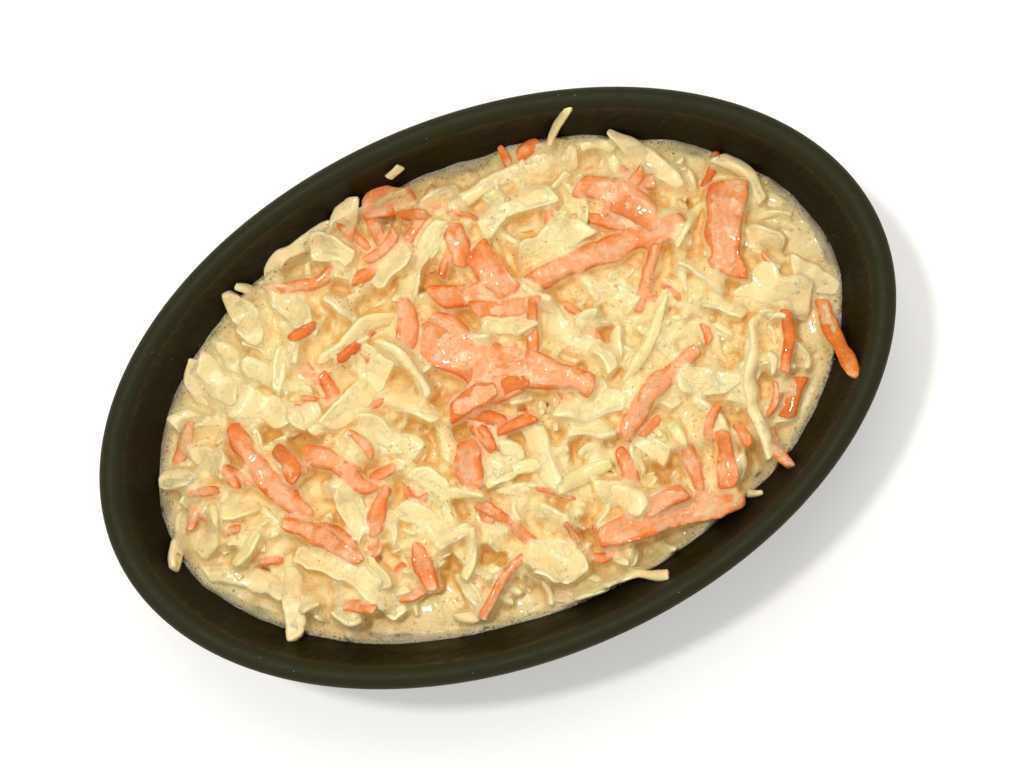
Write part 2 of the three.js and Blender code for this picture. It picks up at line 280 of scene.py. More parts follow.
CABBAGES = [
    (438, 222, 400, 305, 4.2, 0.6, 1.8),
    (447, 212, 527, 170, 3.4, 0.8, 1.3),
    (480, 228, 552, 196, 5.0, 1.0, 1.2),
    (520, 266, 584, 230, 5.6, 0.8, 1.2),
    (537, 168, 572, 156, 6.6, 0.4, 2.0),
    (606, 142, 680, 188, 4.2, 1.0, 1.5),
    (715, 164, 760, 202, 3.6, 1.4, 1.5),
    (534, 294, 602, 356, 5.6, -2.6, 2.0),
    (585, 292, 632, 308, 5.8, 0.6, 1.6),
    (556, 408, 624, 408, 5.4, 0.2, 1.6),
    (523, 418, 556, 486, 5.0, -0.4, 2.4),
    (750, 324, 768, 458, 2.8, -2.4, 1.5),
    (676, 384, 734, 386, 5.6, 0.4, 1.0),
    (600, 490, 642, 511, 5.4, 0.4, 2.0),
    (530, 556, 576, 574, 7.0, 0.8, 2.0),
    (230, 297, 250, 346, 5.6, 0.8, 1.8),
    (270, 305, 306, 330, 5.0, 0.6, 1.4),
    (312, 252, 350, 262, 5.2, 0.6, 1.8),
    (405, 250, 378, 286, 4.6, 0.8, 1.4),
    (325, 366, 396, 320, 3.2, 1.8, 1.6),
    (386, 344, 430, 397, 2.4, 0.8, 1.6),
    (388, 360, 334, 430, 5.4, 0.8, 1.4),
    (386, 402, 440, 416, 4.8, 0.6, 1.4),
    (364, 424, 420, 452, 5.0, 0.4, 1.0),
    (162, 478, 192, 482, 4.6, 0.4, 1.4),
    (190, 455, 226, 474, 5.4, 0.6, 1.6),
    (184, 516, 181, 568, 3.2, -0.6, 1.6),
    (294, 566, 299, 636, 4.2, 0.2, 2.0),
    (206, 576, 286, 594, 4.4, 0.8, 1.2),
    (300, 556, 402, 614, 5.0, 2.6, 1.4),
    (343, 490, 360, 541, 4.2, 0.4, 1.2),
]
MORE_CABBAGES = [
    (478, 225, 468, 262, 2.4, 0.4, 1.1),
    (417, 214, 454, 191, 3.0, 0.5, 1.4),
    (352, 235, 345, 280, 4.8, 0.5, 1.4),
    (353, 203, 332, 229, 5.0, 0.4, 1.4),
    (600, 150, 618, 186, 2.6, 1.0, 1.2),
    (580, 150, 612, 150, 2.4, 0.8, 1.2),
    (756, 216, 788, 216, 1.6, 0.6, 1.0),
    (742, 236, 780, 246, 3.6, 0.4, 1.2),
    (588, 327, 629, 329, 1.6, 0.2, 1.0),
    (614, 336, 612, 372, 3.4, 0.3, 1.2),
    (568, 432, 611, 436, 3.6, 0.3, 1.6),
    (641, 444, 664, 460, 4.0, 0.3, 1.6),
    (736, 500, 757, 495, 1.8, 0.3, 1.1),
    (590, 547, 560, 578, 1.5, 0.8, 1.1),
    (545, 579, 550, 604, 1.6, 0.3, 1.2),
    (214, 352, 242, 370, 4.4, 0.4, 1.8),
    (246, 342, 272, 354, 4.2, 0.4, 1.6),
    (248, 366, 272, 390, 4.6, 0.4, 1.6),
    (283, 350, 278, 393, 2.9, 0.4, 1.2),
    (300, 390, 315, 432, 3.0, 0.8, 1.4),
    (315, 432, 345, 428, 2.8, 0.6, 1.4),
    (414, 472, 450, 496, 4.6, 0.5, 1.8),
    (402, 506, 440, 540, 5.0, 0.6, 1.6),
    (448, 508, 456, 538, 3.4, 0.3, 1.3),
    (486, 544, 500, 554, 3.0, 0.2, 1.3),
    (440, 548, 470, 530, 3.0, 0.5, 1.2),
    (376, 580, 402, 592, 4.6, 0.3, 1.4),
    (540, 514, 568, 526, 3.6, 0.4, 1.4),
    (494, 444, 520, 460, 4.8, 0.4, 1.6),
    (240, 288, 260, 298, 2.6, 0.4, 1.2),
    (385, 345, 428, 395, 1.9, 0.5, 1.1),
    (418, 296, 456, 312, 3.4, 0.4, 1.2),
    (638, 330, 672, 366, 3.2, 0.6, 1.3),
    (690, 300, 742, 318, 3.6, 0.8, 1.3),
    (684, 268, 722, 286, 4.6, 0.6, 1.4),
    (700, 366, 744, 400, 3.0, 0.6, 1.3),
    (640, 396, 672, 410, 3.4, 0.4, 1.2),
    (486, 578, 520, 592, 2.6, 0.5, 1.2),
    (576, 596, 606, 584, 2.6, 0.4, 1.2),
    (270, 404, 300, 430, 3.2, 0.6, 1.2),
    (372, 284, 334, 312, 3.0, 0.6, 1.2),
    (328, 300, 360, 320, 3.4, 0.4, 1.2),
    (560, 260, 608, 250, 3.2, 0.6, 1.2),
    (476, 190, 512, 214, 3.2, 0.5, 1.3),
]
GREENS = [
    (548, 150, 569, 117, 2.0, 0.6, 1.0),
    (697, 205, 677, 252, 2.0, -0.8, 1.2),
    (660, 296, 622, 384, 2.6, 0.8, 1.2),
    (558, 490, 607, 465, 3.4, 0.6, 1.2),
    (487, 487, 538, 468, 3.4, 0.8, 1.2),
    (602, 583, 663, 571, 2.6, 0.6, 0.9),
    (204, 514, 256, 506, 4.4, 0.4, 1.2),
    (222, 516, 205, 557, 3.0, 0.4, 1.4),
    (262, 537, 237, 565, 3.4, 0.4, 1.3),
    (453, 498, 484, 495, 2.0, 0.4, 1.1),
    (467, 530, 467, 577, 2.0, 0.5, 1.1),
    (666, 428, 678, 446, 2.0, 0.3, 1.2),
]
LEAVES = [
    (745, 280, 806, 302, 8.6, -0.6, 0.9),
    (184, 376, 290, 414, 7.6, -1.6, 0.9),
    (790, 270, 833, 290, 4.4, 0.4, 0.7),
    (455, 578, 478, 606, 4.2, 0.6, 0.6),
    (540, 548, 580, 556, 5.4, 0.6, 0.8),
    (330, 560, 380, 590, 6.4, 1.0, 0.8),
    (196, 366, 236, 396, 5.6, 0.6, 0.8),
    (640, 246, 668, 214, 4.6, 0.6, 0.7),
]

# Laid last, across those before
LAST_CARROTS = [
    (474, 313, 537, 311, 3.9, 0.2, 1.5),
    (531, 306, 532, 356, 2.7, 0.2, 1.6),
    (528, 366, 590, 391, 4.8, 0.7, 1.5),
    (470, 402, 508, 380, 2.6, 0.5, 1.2),
    (486, 397, 530, 387, 3.0, 0.3, 1.0),
    (480, 430, 493, 452, 2.0, 0.2, 1.0),
    (464, 414, 506, 424, 3.4, 0.3, 1.0),
    (500, 436, 534, 420, 2.8, 0.4, 1.1),
    (588, 222, 622, 231, 2.8, 0.3, 1.0),
    (400, 217, 425, 221, 2.2, 0.2, 1.2),
    (396, 238, 366, 262, 2.6, 0.6, 1.2),
    (452, 416, 498, 394, 4.4, 0.3, 0.9),
]
# The first pixels of the carrots that lie nearly bare of dressing, and how much that adds to their orange
VIVID_CARROTS = [
    (819, 303), (380, 317), (783, 316), (793, 380), (712, 156), (486, 397), (464, 414), (500, 436),
    (480, 430), (293, 343), (517, 158), (499, 151), (472, 430), (470, 425), (452, 416), (278, 452),
]
VIVID_ADDED = 0.75
LAST_CABBAGES = [
    (484, 330, 530, 334, 4.2, 0.2, 1.5),
    (512, 407, 530, 399, 2.0, 0.2, 1.0),
    (575, 330, 592, 316, 2.4, 0.8, 1.1),
    (596, 352, 612, 372, 2.6, 0.6, 1.1),
]

# Places where the dressing lies open, with few shreds: pixel, then radius in millimetres
POOLS = [
    (806, 234, 8), (808, 330, 5), (800, 400, 5), (752, 470, 4), (690, 545, 4), (440, 612, 8), (380, 620, 5),
    (530, 606, 5), (300, 440, 5), (330, 285, 5), (440, 184, 7), (400, 190, 4), (600, 220, 4), (175, 440, 4),
    (170, 500, 4), (240, 590, 4), (690, 160, 4), (770, 200, 4), (735, 350, 4),
]

# Deep gaps between the shreds, painted amber as shade: pixel, then radius in millimetres
PITS = [
    (586, 222, 1.7), (543, 410, 2.0), (262, 574, 2.2), (352, 350, 1.8), (506, 452, 1.6), (523, 414, 1.3),
    (386, 222, 1.2), (580, 372, 1.4), (242, 292, 1.8), (448, 240, 1.4), (376, 560, 1.2), (660, 440, 1.4),
    (388, 216, 1.5), (610, 470, 1.4), (420, 292, 1.4), (236, 318, 1.5), (684, 204, 1.4),
]

# Groups of small bubbles: pixel, how many, and how far they spread in millimetres
BUBBLE_GROUPS = [
    (800, 225, 30, 4.0), (815, 300, 12, 2.5), (790, 425, 16, 3.0), (760, 452, 14, 2.5), (735, 345, 14, 3.0),
    (728, 362, 12, 2.0), (770, 402, 8, 1.4), (560, 208, 10, 1.5), (505, 205, 14, 3.0), (440, 188, 26, 4.0),
    (405, 196, 18, 2.5), (352, 296, 12, 2.0), (330, 300, 8, 2.5), (300, 440, 18, 2.5), (390, 445, 10, 2.0),
    (400, 470, 10, 2.5), (430, 600, 24, 5.0), (500, 610, 16, 4.0), (360, 616, 14, 3.0), (560, 575, 10, 3.0),
    (180, 440, 18, 2.5), (172, 500, 14, 2.0), (236, 565, 10, 1.8), (455, 350, 6, 2.0), (620, 260, 8, 3.0),
    (585, 480, 8, 2.5), (530, 330, 6, 2.0), (475, 366, 6, 2.0), (670, 470, 8, 2.5), (700, 430, 8, 2.0),
    (590, 160, 8, 2.0), (712, 172, 12, 2.0), (770, 190, 18, 3.0),
]
# Single bubbles: pixel, then radius in millimetres
LARGE_BUBBLES = [
    (709, 322, 0.85), (741, 347, 0.5), (710, 355, 0.42), (353, 293, 0.75), (361, 288, 0.6), (378, 301, 0.4),
    (507, 204, 0.7), (516, 200, 0.35), (573, 221, 0.85), (584, 213, 0.6), (316, 340, 0.55), (515, 347, 0.5),
    (332, 450, 0.4), (764, 185, 0.5), (820, 262, 0.5), (835, 281, 0.75), (739, 170, 0.6), (782, 205, 0.4),
    (735, 394, 0.35), (408, 557, 0.5), (768, 418, 0.4), (548, 346, 0.35),
]

# How many shreds, offcuts and wholly coated strands lie at random under and between the listed shreds
BURIED_CABBAGES = 360
BURIED_CARROTS = 46
SMALL_BITS = 440
COATED_STRANDS = 1900

# The scrap of cabbage on the wall: its two ends, and the turn of its flat side
SCRAP_START = np.array([-3.4, 47.85, 36.3])
SCRAP_END = np.array([-0.4, 48.5, 38.35])
SCRAP_TILT = 0.75


class Shred:
    """One strip: its line in plan, its section, how green or orange it is, and how bare of dressing."""

    def __init__(self, kind, start, end, width, bow, thick, vivid=0.0, bare=0.0):
        self.kind, self.width, self.thick, self.vivid = kind, width, thick, vivid
        self.start, self.end, self.bow = np.array(start), np.array(end), bow
        self.chance = random.random(6)  # from 0 to 1, for its tips, curl, roughness and tone
        self.slants = random.uniform(-0.8, 0.8, 2)
        self.peak = random.uniform(-0.5, 0.5)
        self.ridge = random.uniform(0.05, 0.5)
        self.bare = bare + (0.3 if bare > 0 else 0.12) * (self.chance[3] - 0.5)
        self.tilt = 0.0
        self.leaf = thick < 0.95 and width > 4
        self.steps = int(np.clip(self.length() / 0.62, 10, 52))

    def length(self):
        return float(np.linalg.norm(self.end - self.start)) + 2 * abs(self.bow) / 3

    def seed(self, number):
        """A seed for noise from one of its chances."""
        return int(self.chance[number] * MOST_SEEDS)

    def plan(self, shares):
        """Points of the shred's middle line, and the directions along and across it."""
        along = self.end - self.start
        side = np.array([-along[1], along[0]]) / max(1e-6, np.linalg.norm(along))
        middle = (self.start + self.end) / 2 + side * 2 * self.bow
        s = shares[:, None]
        points = (1 - s) ** 2 * self.start + 2 * s * (1 - s) * middle + s**2 * self.end
        sway = smooth_noise(np.stack([shares * self.length(), shares * 0], -1), 6.0, self.seed(0))
        points = points + side * (sway * self.kind.sway)[:, None]
        forward = np.gradient(points, axis=0)
        forward /= np.linalg.norm(forward, axis=1)[:, None]
        across = np.stack([-forward[:, 1], forward[:, 0]], -1)
        return points, forward, across

    def half_widths(self, shares):
        """Half the width along the shred, which narrows towards its ends and is uneven."""
        tip = 0.3 + 0.75 * self.chance[1] ** 0.6 if self.kind == CABBAGE else 0.62 + 0.34 * self.chance[1]
        lean = 0.7 + 1.1 * self.chance[5]
        bulge = np.sin(np.pi * np.clip(shares, 0, 1) ** lean) ** 0.5
        line = np.stack([shares * self.length(), shares * 0 + self.width], -1)
        uneven = 1 + (0.3 if self.leaf else 0.2) * smooth_noise(line, 3.6, self.seed(2))
        return self.width / 2 * (tip + (1 - tip) * bulge) * uneven

    def rolls(self, shares):
        """How far the section is turned about the middle line, in radians."""
        most = self.kind.most_roll * min(1, (3.4 / self.width) ** 1.3)
        first = (self.chance[3] - 0.5) * 2 * most
        turn = (self.chance[4] - 0.5) * 2 * most * 1.6
        return self.tilt + first + turn * (shares - 0.5)


def finer(points, axis, times):
    """A grid of points with more of them along one axis, on straight lines between the old ones."""
    points = np.moveaxis(points, axis, 0)
    place = np.linspace(0, len(points) - 1, (len(points) - 1) * times + 1)
    low = np.minimum(place.astype(int), len(points) - 2)
    share = (place - low).reshape(-1, *[1] * (points.ndim - 1))
    return np.moveaxis(points[low] * (1 - share) + points[low + 1] * share, 0, axis)


class Heap:
    """The height of what lies uppermost and how bare it is of dressing, on a grid in plan."""

    def __init__(self):
        self.xs = np.arange(-GRID_HALF_X, GRID_HALF_X + CELL, CELL)
        self.ys = np.arange(-GRID_HALF_Y, GRID_HALF_Y + CELL, CELL)
        self.x, self.y = np.meshgrid(self.xs, self.ys, indexing="ij")
        self.wall = wall_height(self.x, self.y)
        self.height = np.maximum(surface(self.x, self.y) - BED_DEPTH, self.wall + 0.15)
        self.carrot = np.full(self.x.shape, -50.0)
        self.bare = np.zeros(self.x.shape)

    def cells(self, points):
        i = np.clip(np.rint((points[..., 0] - self.xs[0]) / CELL).astype(int), 0, len(self.xs) - 1)
        j = np.clip(np.rint((points[..., 1] - self.ys[0]) / CELL).astype(int), 0, len(self.ys) - 1)
        return i, j

    def sample(self, grid, points):
        """A grid's value at places in plan, between its cells."""
        u = np.clip((points[..., 0] - self.xs[0]) / CELL, 0, len(self.xs) - 1.001)
        v = np.clip((points[..., 1] - self.ys[0]) / CELL, 0, len(self.ys) - 1.001)
        i, j = u.astype(int), v.astype(int)
        fu, fv = u - i, v - j
        low = grid[i, j] * (1 - fu) + grid[i + 1, j] * fu
        high = grid[i, j + 1] * (1 - fu) + grid[i + 1, j + 1] * fu
        return low * (1 - fv) + high * fv

    def lay(self, shred):
        """Rests a shred on the heap, and adds its own height to the heap."""
        shares = np.linspace(0, 1, shred.steps)
        points, forward, across = shred.plan(shares)
        halves, rolls = shred.half_widths(shares), shred.rolls(shares)
        reach = halves * np.abs(np.cos(rolls)) + shred.thick / 2 * np.abs(np.sin(rolls))
        offsets = np.linspace(-0.8, 0.8, 5)[:, None] * reach[:, None, None]
        bed = self.sample(self.height, points[:, None] + across[:, None] * offsets)
        bed = 0.5 * bed.max(1) + 0.5 * bed.mean(1)
        line = bed.copy()
        for _ in range(shred.kind.rounds):
            padded = np.concatenate([line[:1], line, line[-1:]])
            line = np.maximum(bed, (padded[:-2] + padded[2:]) / 2)
        padded = np.concatenate([line[:1], line[:1], line, line[-1:], line[-1:]])
        line = (padded[:-4] + padded[1:-3] * 2 + padded[2:-2] * 3 + padded[3:-1] * 2 + padded[4:]) / 9
        tall = shred.thick / 2 * np.abs(np.cos(rolls)) + halves * np.abs(np.sin(rolls))
        floor = self.sample(self.wall, points) + 0.2
        if shred.kind == CABBAGE:
            arch = smooth_noise(np.stack([shares * shred.length(), shares * 0], -1), 5.5, shred.seed(4))
            line = line + 1.3 * np.clip(arch, 0, 1)
        centre = np.maximum(line + tall * 0.5, floor + tall * 0.8)
        shred.path = np.concatenate([points, centre[:, None]], 1)
        shape_shred(shred)
        self.add_top(shred)

    def add_top(self, shred):
        """Raises the heap's height to the shred's own surface."""
        spots = finer(finer(shred.points, 0, 3), 1, 4)
        top = spots[..., 2]
        i, j = self.cells(spots)
        above = top > self.height[i, j]
        np.maximum.at(self.height, (i, j), top)
        self.bare[i[above], j[above]] = shred.bare
        if shred.kind == CARROT:
            np.maximum.at(self.carrot, (i, j), top)


def inside_food(point, share):
    a, b = semi_axes(wall_inset(LEVEL))
    return (point[0] / a) ** 2 + (point[1] / b) ** 2 < share**2


def openness(point):
    """1 in the middle of a pool of dressing, 0 away from all of them."""
    most = 0.0
    for px, py, radius in POOLS:
        away = np.linalg.norm(from_photo(px, py) - point)
        most = max(most, float(1 - step(0.6 * radius, 1.1 * radius, away)))
    return most


def random_shred(kind):
    """A shred of random place, direction and size, clear of the open dressing."""
    while True:
        place = random.uniform(-1, 1, 2) * [HALF_LENGTH, HALF_WIDTH]
        if inside_food(place, 0.93) and random.random() > openness(place):
            break
    turn = random.uniform(0, math.pi)
    if kind == CARROT:
        length, width, thick = random.uniform(4, 13), random.uniform(1.5, 4), random.uniform(0.9, 1.8)
    elif random.random() < 0.45:
        length, width, thick = random.uniform(9, 26), random.uniform(1.4, 3.2), random.uniform(0.8, 1.3)
    else:
        length, width, thick = random.uniform(4.5, 10), random.uniform(2.6, 5.6), random.uniform(1.0, 2.1)
    reach = np.array([math.cos(turn), math.sin(turn)]) * length / 2
    start, end = place - reach, place + reach
    for point in (start, end):
        if not inside_food(point, 1.0):
            point *= 0.9 / math.hypot(*(point / semi_axes(wall_inset(LEVEL))))
    bow = random.normal() * length * 0.07
    vivid = 0.7 * random.random() if random.random() < 0.14 else 0.12 * random.random()
    return Shred(kind, start, end, width, bow, thick, vivid, -0.08)


def random_bit():
    """One of the small offcuts that lie between the larger shreds."""
    bit = random_shred(CARROT if random.random() < 0.13 else CABBAGE)
    middle = (bit.start + bit.end) / 2
    reach = (bit.end - bit.start) / np.linalg.norm(bit.end - bit.start) * random.uniform(1.1, 3.4)
    length = 2 * np.linalg.norm(reach)
    width, thick = length * random.uniform(0.25, 0.5), random.uniform(0.6, 1.3)
    bow = random.normal() * length * 0.12
    return Shred(bit.kind, middle - reach, middle + reach, width, bow, thick, bit.vivid, -0.04)


def listed_shreds(kind, rows, tone, bare):
    """The shreds of a table, in its order."""
    made = []
    for x0, y0, x1, y1, *sizes in rows:
        vivid = tone + 0.1 * random.random() + (VIVID_ADDED if (x0, y0) in VIVID_CARROTS else 0.0)
        made.append(Shred(kind, from_photo(x0, y0), from_photo(x1, y1), *sizes, vivid, bare))
    return made


def all_shreds():
    """Every shred, the lowest first."""
    buried = [random_shred(CABBAGE) for _ in range(BURIED_CABBAGES)]
    buried += [random_shred(CARROT) for _ in range(BURIED_CARROTS)]
    order = random.permutation(len(buried))
    lower = [buried[i] for i in order] + [random_bit() for _ in range(SMALL_BITS)]
    named = listed_shreds(CABBAGE, MORE_CABBAGES, 0.05, 0.02)
    named += listed_shreds(CARROT, MORE_CARROTS, 0.0, 0.0)
    upper = listed_shreds(CABBAGE, LEAVES, 0.05, 0.2) + listed_shreds(CARROT, CARROTS, 0.0, 0.05)
    upper += listed_shreds(CABBAGE, CABBAGES, 0.05, 0.12) + listed_shreds(CABBAGE, GREENS, 0.95, 0.3)
    upper += listed_shreds(CARROT, LAST_CARROTS, 0.0, 0.05) + listed_shreds(CABBAGE, LAST_CABBAGES, 0.1, 0.1)
    return lower + named + upper


# The dressing

POOL_DEPTH = 2.1  # of the dressing between shreds, under the general surface
POOL_RISE = 1.5  # from there, where it lies open
PIT_DEPTH = 1.9
FILM_DEPTH = 0.85  # of the film at least, under the heap's mean height round it
FILLET = 0.4
WALL_SKIN = 0.28
SETTLED_RISE = 1.2  # of the settled heap over the general surface
SETTLED_REACH = 3.5

# Sizes over which heights are evened out
STRAND_BLUR = 0.2
CLOSE_BLUR = 0.32
BARE_BLUR = 0.4
NEAR_BLUR = 0.8
WIDE_BLUR = 1.6

# Seeds of the dressing's noise
BARE_SEED = 5
BARE_GRAIN_SEED = 9
RIPPLE_SEED = 11
FILM_SEED = 13
CREASE_SEED = 17
CREASE_PATCH_SEED = 19
SKIN_SEED = 21
PIT_SEED = 23
EDGE_GRAIN_SEED = 31
EDGE_SEED = 77


def blurred(grid, size):
    """Gaussian blur of a grid by a size in millimetres."""
    reach = int(3 * size / CELL) + 1
    weights = np.exp(-0.5 * (np.arange(-reach, reach + 1) * CELL / size) ** 2)
    weights /= weights.sum()
    for axis in (0, 1):
        padded = np.pad(grid, [(reach, reach) if k == axis else (0, 0) for k in (0, 1)], mode="edge")
        count = grid.shape[axis]
        grid = sum(w * np.take(padded, np.arange(k, k + count), axis) for k, w in enumerate(weights))
    return grid


def soft_max(one, other, size):
    """The greater of two heights, with a fillet where they cross."""
    gap = np.clip(0.5 + 0.5 * (one - other) / size, 0, 1)
    return other + (one - other) * gap + size * gap * (1 - gap)


def pool_level(heap):
    """The open dressing's own height, a little under the shreds."""
    plan = np.stack([heap.x, heap.y], -1)
    ripple = 0.35 * rough_noise(plan, 7.0, RIPPLE_SEED)
    open_here = np.zeros(heap.x.shape)
    for px, py, radius in POOLS:
        away = np.linalg.norm(plan - from_photo(px, py), axis=-1)
        open_here = np.maximum(open_here, 1 - step(0.5 * radius, 1.3 * radius, away))
    return surface(heap.x, heap.y) - POOL_DEPTH + POOL_RISE * open_here + ripple


def pit_depth(plan):
    """How far the dressing has sunk away in the few deep gaps between shreds."""
    depth = np.zeros(plan.shape[:-1])
    for px, py, radius in PITS:
        away = np.linalg.norm(plan - from_photo(px, py), axis=-1)
        uneven = away * (1 + 0.4 * smooth_noise(plan, 2.2, PIT_SEED))
        depth = np.maximum(depth, PIT_DEPTH * (1 - step(0.35 * radius, radius, uneven)))
    return depth


def coated_strands(heap):
    """Relief of the thin shreds that lie wholly under the dressing, all over the food."""
    relief = np.zeros(heap.x.shape)
    for _ in range(COATED_STRANDS):
        middle = random.uniform(-1, 1, 2) * [HALF_LENGTH, HALF_WIDTH]
        turn = random.uniform(0, math.pi)
        half_length, half_width = random.uniform(1.0, 4.2), random.uniform(0.4, 1.1)
        rise, bow = random.uniform(0.22, 0.7), random.normal() * 0.16
        if not inside_food(middle, 0.97) or random.random() < 0.75 * openness(middle):
            continue
        low = np.maximum(np.array(heap.cells(middle - half_length - 1)), 0)
        high = np.array(heap.cells(middle + half_length + 1)) + 1
        near = (slice(low[0], high[0]), slice(low[1], high[1]))
        dx, dy = heap.x[near] - middle[0], heap.y[near] - middle[1]
        along = dx * math.cos(turn) + dy * math.sin(turn)
        across = dy * math.cos(turn) - dx * math.sin(turn) + bow * along**2 / half_length
        body = np.clip(1 - (across / half_width) ** 2, 0, 1) ** 0.6
        shape = rise * body * step(0, 0.3, 1 - np.abs(along) / half_length)
        relief[near] = np.maximum(relief[near], shape + 0.35 * relief[near] * (shape > 0))
    return relief


def widened(grid):
    """Each cell raised to the highest of those round it."""
    for axis in (0, 1):
        grid = np.maximum(grid, np.maximum(np.roll(grid, 1, axis), np.roll(grid, -1, axis)))
    return grid


def dress(heap):
    """The dressing's height over the whole grid: pools, and films drawn up over the shreds."""
    plan = np.stack([heap.x, heap.y], -1)
    relief = blurred(coated_strands(heap), STRAND_BLUR)
    pits = pit_depth(plan)
    close = blurred(0.5 * widened(heap.height) + 0.5 * heap.height, CLOSE_BLUR)
    near, wide = blurred(heap.height, NEAR_BLUR), blurred(heap.height, WIDE_BLUR)
    bare = blurred(heap.bare, BARE_BLUR) - 0.06
    bare = bare + 0.55 * rough_noise(plan, 5.5, BARE_SEED) + 0.12 * rough_noise(plan, 1.6, BARE_GRAIN_SEED)
    film = 0.8 * close + 0.2 * near - np.clip(bare, -0.2, 0.6) - 0.1
    crease = np.clip(1 - np.abs(rough_noise(plan, 3.0, CREASE_SEED)) * 4, 0, 1)
    creased = 0.22 * crease * step(-0.2, 0.4, smooth_noise(plan, 9, CREASE_PATCH_SEED))
    film = film + 0.13 * rough_noise(plan, 1.7, FILM_SEED) + creased
    film = soft_max(film, wide - FILM_DEPTH + relief, FILLET) - pits
    level = soft_max(film, pool_level(heap) - 0.3 + relief - pits, FILLET)
    skin = heap.wall + WALL_SKIN + 0.1 * rough_noise(plan, 1.6, SKIN_SEED)
    return soft_max(level, skin, 0.35)


def settle(heap, shreds, level):
    """Lets the heap sink where it has piled up, each upright line as a whole, so its relief stays."""
    general = surface(heap.x, heap.y)
    clear = general - heap.wall
    excess = np.clip(heap.height - general - SETTLED_RISE, 0, 20) * step(0.5, 7.0, clear)
    sink = blurred(excess, SETTLED_REACH) * step(0.0, 4.0, clear)
    for shred in shreds:
        shred.points[..., 2] -= heap.sample(sink, shred.points[..., :2])
    heap.height = heap.height - sink
    heap.carrot = heap.carrot - sink
    return np.maximum(level - sink, np.minimum(level, heap.wall + WALL_SKIN))


# Where the dressing reaches further or less far up the wall: turn in degrees, rise in millimetres, reach
EDGE_SWELLS = [
    (42, 1.2, 9), (66, 1.7, 15), (85, 0.8, 7), (193, 0.6, 7), (330, -0.6, 9), (310, 0.6, 8),
]


def edge_height(turn):
    """How high the dressing reaches up the wall, all round the bowl."""
    ring = np.stack([np.cos(turn) * HALF_LENGTH, np.sin(turn) * HALF_WIDTH], -1)
    grain = 0.35 * rough_noise(ring, 4.0, EDGE_GRAIN_SEED)
    climb = 0.5 + 0.9 * rough_noise(ring, 16.0, EDGE_SEED) + grain
    height = LEVEL + 0.75 + np.clip(climb, -0.4, 2.6)
    for middle, rise, reach in EDGE_SWELLS:
        away = np.abs((np.degrees(turn) - middle + 180) % 360 - 180)
        height = height + rise * (1 - step(0.4 * reach, reach, away))
    return height


def grid_ring(across_x, across_y):
    """A square grid drawn out into a round one: for each point its radius share and its turn."""
    u, v = np.meshgrid(np.linspace(-1, 1, across_x), np.linspace(-1, 1, across_y), indexing="ij")
    wide = np.abs(u) > np.abs(v)
    radius = np.where(wide, u, v)
    safe_u, safe_v = np.where(u == 0, 1e-9, u), np.where(v == 0, 1e-9, v)
    turn = np.where(wide, math.pi / 4 * v / safe_u, math.pi / 2 - math.pi / 4 * u / safe_v)
    return radius, turn


# The dressing's mesh: points along and across its top, and the rings of its hidden underside
DRESSING_ACROSS_X = 368
DRESSING_ACROSS_Y = 232
UNDERSIDE_LOWEST = FLOOR_HEIGHT + 0.1
UNDERSIDE_HEIGHTS = (24, 18, 12, 8, 5, UNDERSIDE_LOWEST)
UNDERSIDE_GAP = 0.15


def dressing_mesh(heap, level):
    """The dressing as a closed solid: a fine top, and a plain underside along the bowl's wall."""
    radius, turn = grid_ring(DRESSING_ACROSS_X, DRESSING_ACROSS_Y)
    cos, sin = radius * np.cos(turn), radius * np.sin(turn)
    heading = np.arctan2(sin, cos)
    a, b = semi_axes(wall_inset(edge_height(heading)))
    x, y = cos * a, sin * b
    z = heap.sample(level, np.stack([x, y], -1))
    share = np.abs(radius)
    wall = wall_height(x, y)
    rim = step(0.985, 1.0, share)
    z = z * (1 - rim) + wall * rim
    z = np.maximum(z, wall - 0.02)
    top = np.stack([x, y, z], -1)
    nx, ny = radius.shape
    index = np.arange(nx * ny).reshape(nx, ny)
    quads = np.stack([index[:-1, :-1], index[1:, :-1], index[1:, 1:], index[:-1, 1:]], -1).reshape(-1, 4)
    border = np.concatenate([index[:, 0], index[-1, 1:], index[-2::-1, -1], index[0, -2:0:-1]])
    points = [top.reshape(-1, 3)]
    faces = [quads]
    upper = border
    count = nx * ny
    edge = top.reshape(-1, 3)[border]
    round_turn = np.arctan2(edge[:, 1] / HALF_WIDTH, edge[:, 0] / HALF_LENGTH)
    for height in UNDERSIDE_HEIGHTS:
        a, b = semi_axes(wall_inset(height) + UNDERSIDE_GAP)
        ring = np.stack([a * np.cos(round_turn), b * np.sin(round_turn), np.full(len(border), height)], -1)
        lower = count + np.arange(len(border))
        points.append(ring)
        faces.append(np.stack([upper, np.roll(upper, -1), np.roll(lower, -1), lower], -1)[:, ::-1])
        upper = lower
        count += len(border)
    points.append(np.array([[0, 0, UNDERSIDE_LOWEST]]))
    fan = np.stack([upper, np.roll(upper, -1), np.full(len(border), count)], -1)[:, ::-1]
    return np.concatenate(points), [np.concatenate(faces), fan]


def dressing_tint(heap, level, plan):
    """At each place: carrot showing through, how hollow it is there for the painted shade in hollows, and
    the distance to the food's edge.
    """
    carrot = np.clip(blurred(np.exp(-np.clip(level - heap.carrot, 0, 20) / 0.7), 0.3), 0, 1)
    wide_hollow = step(0.5, 2.0, blurred(level, 2.0) - level)
    close_hollow = step(0.36, 0.9, blurred(level, 0.8) - level)
    hollow_shade = heap.sample(0.1 * wide_hollow + 0.9 * close_hollow, plan)
    turn = np.arctan2(plan[:, 1] / HALF_WIDTH, plan[:, 0] / HALF_LENGTH)
    a, b = semi_axes(wall_inset(edge_height(turn)))
    inwards = (1 - np.hypot(plan[:, 0] / a, plan[:, 1] / b)) * 0.5 * (a + b)
    return np.stack([heap.sample(carrot, plan), hollow_shade, inwards], -1)


# Meshes

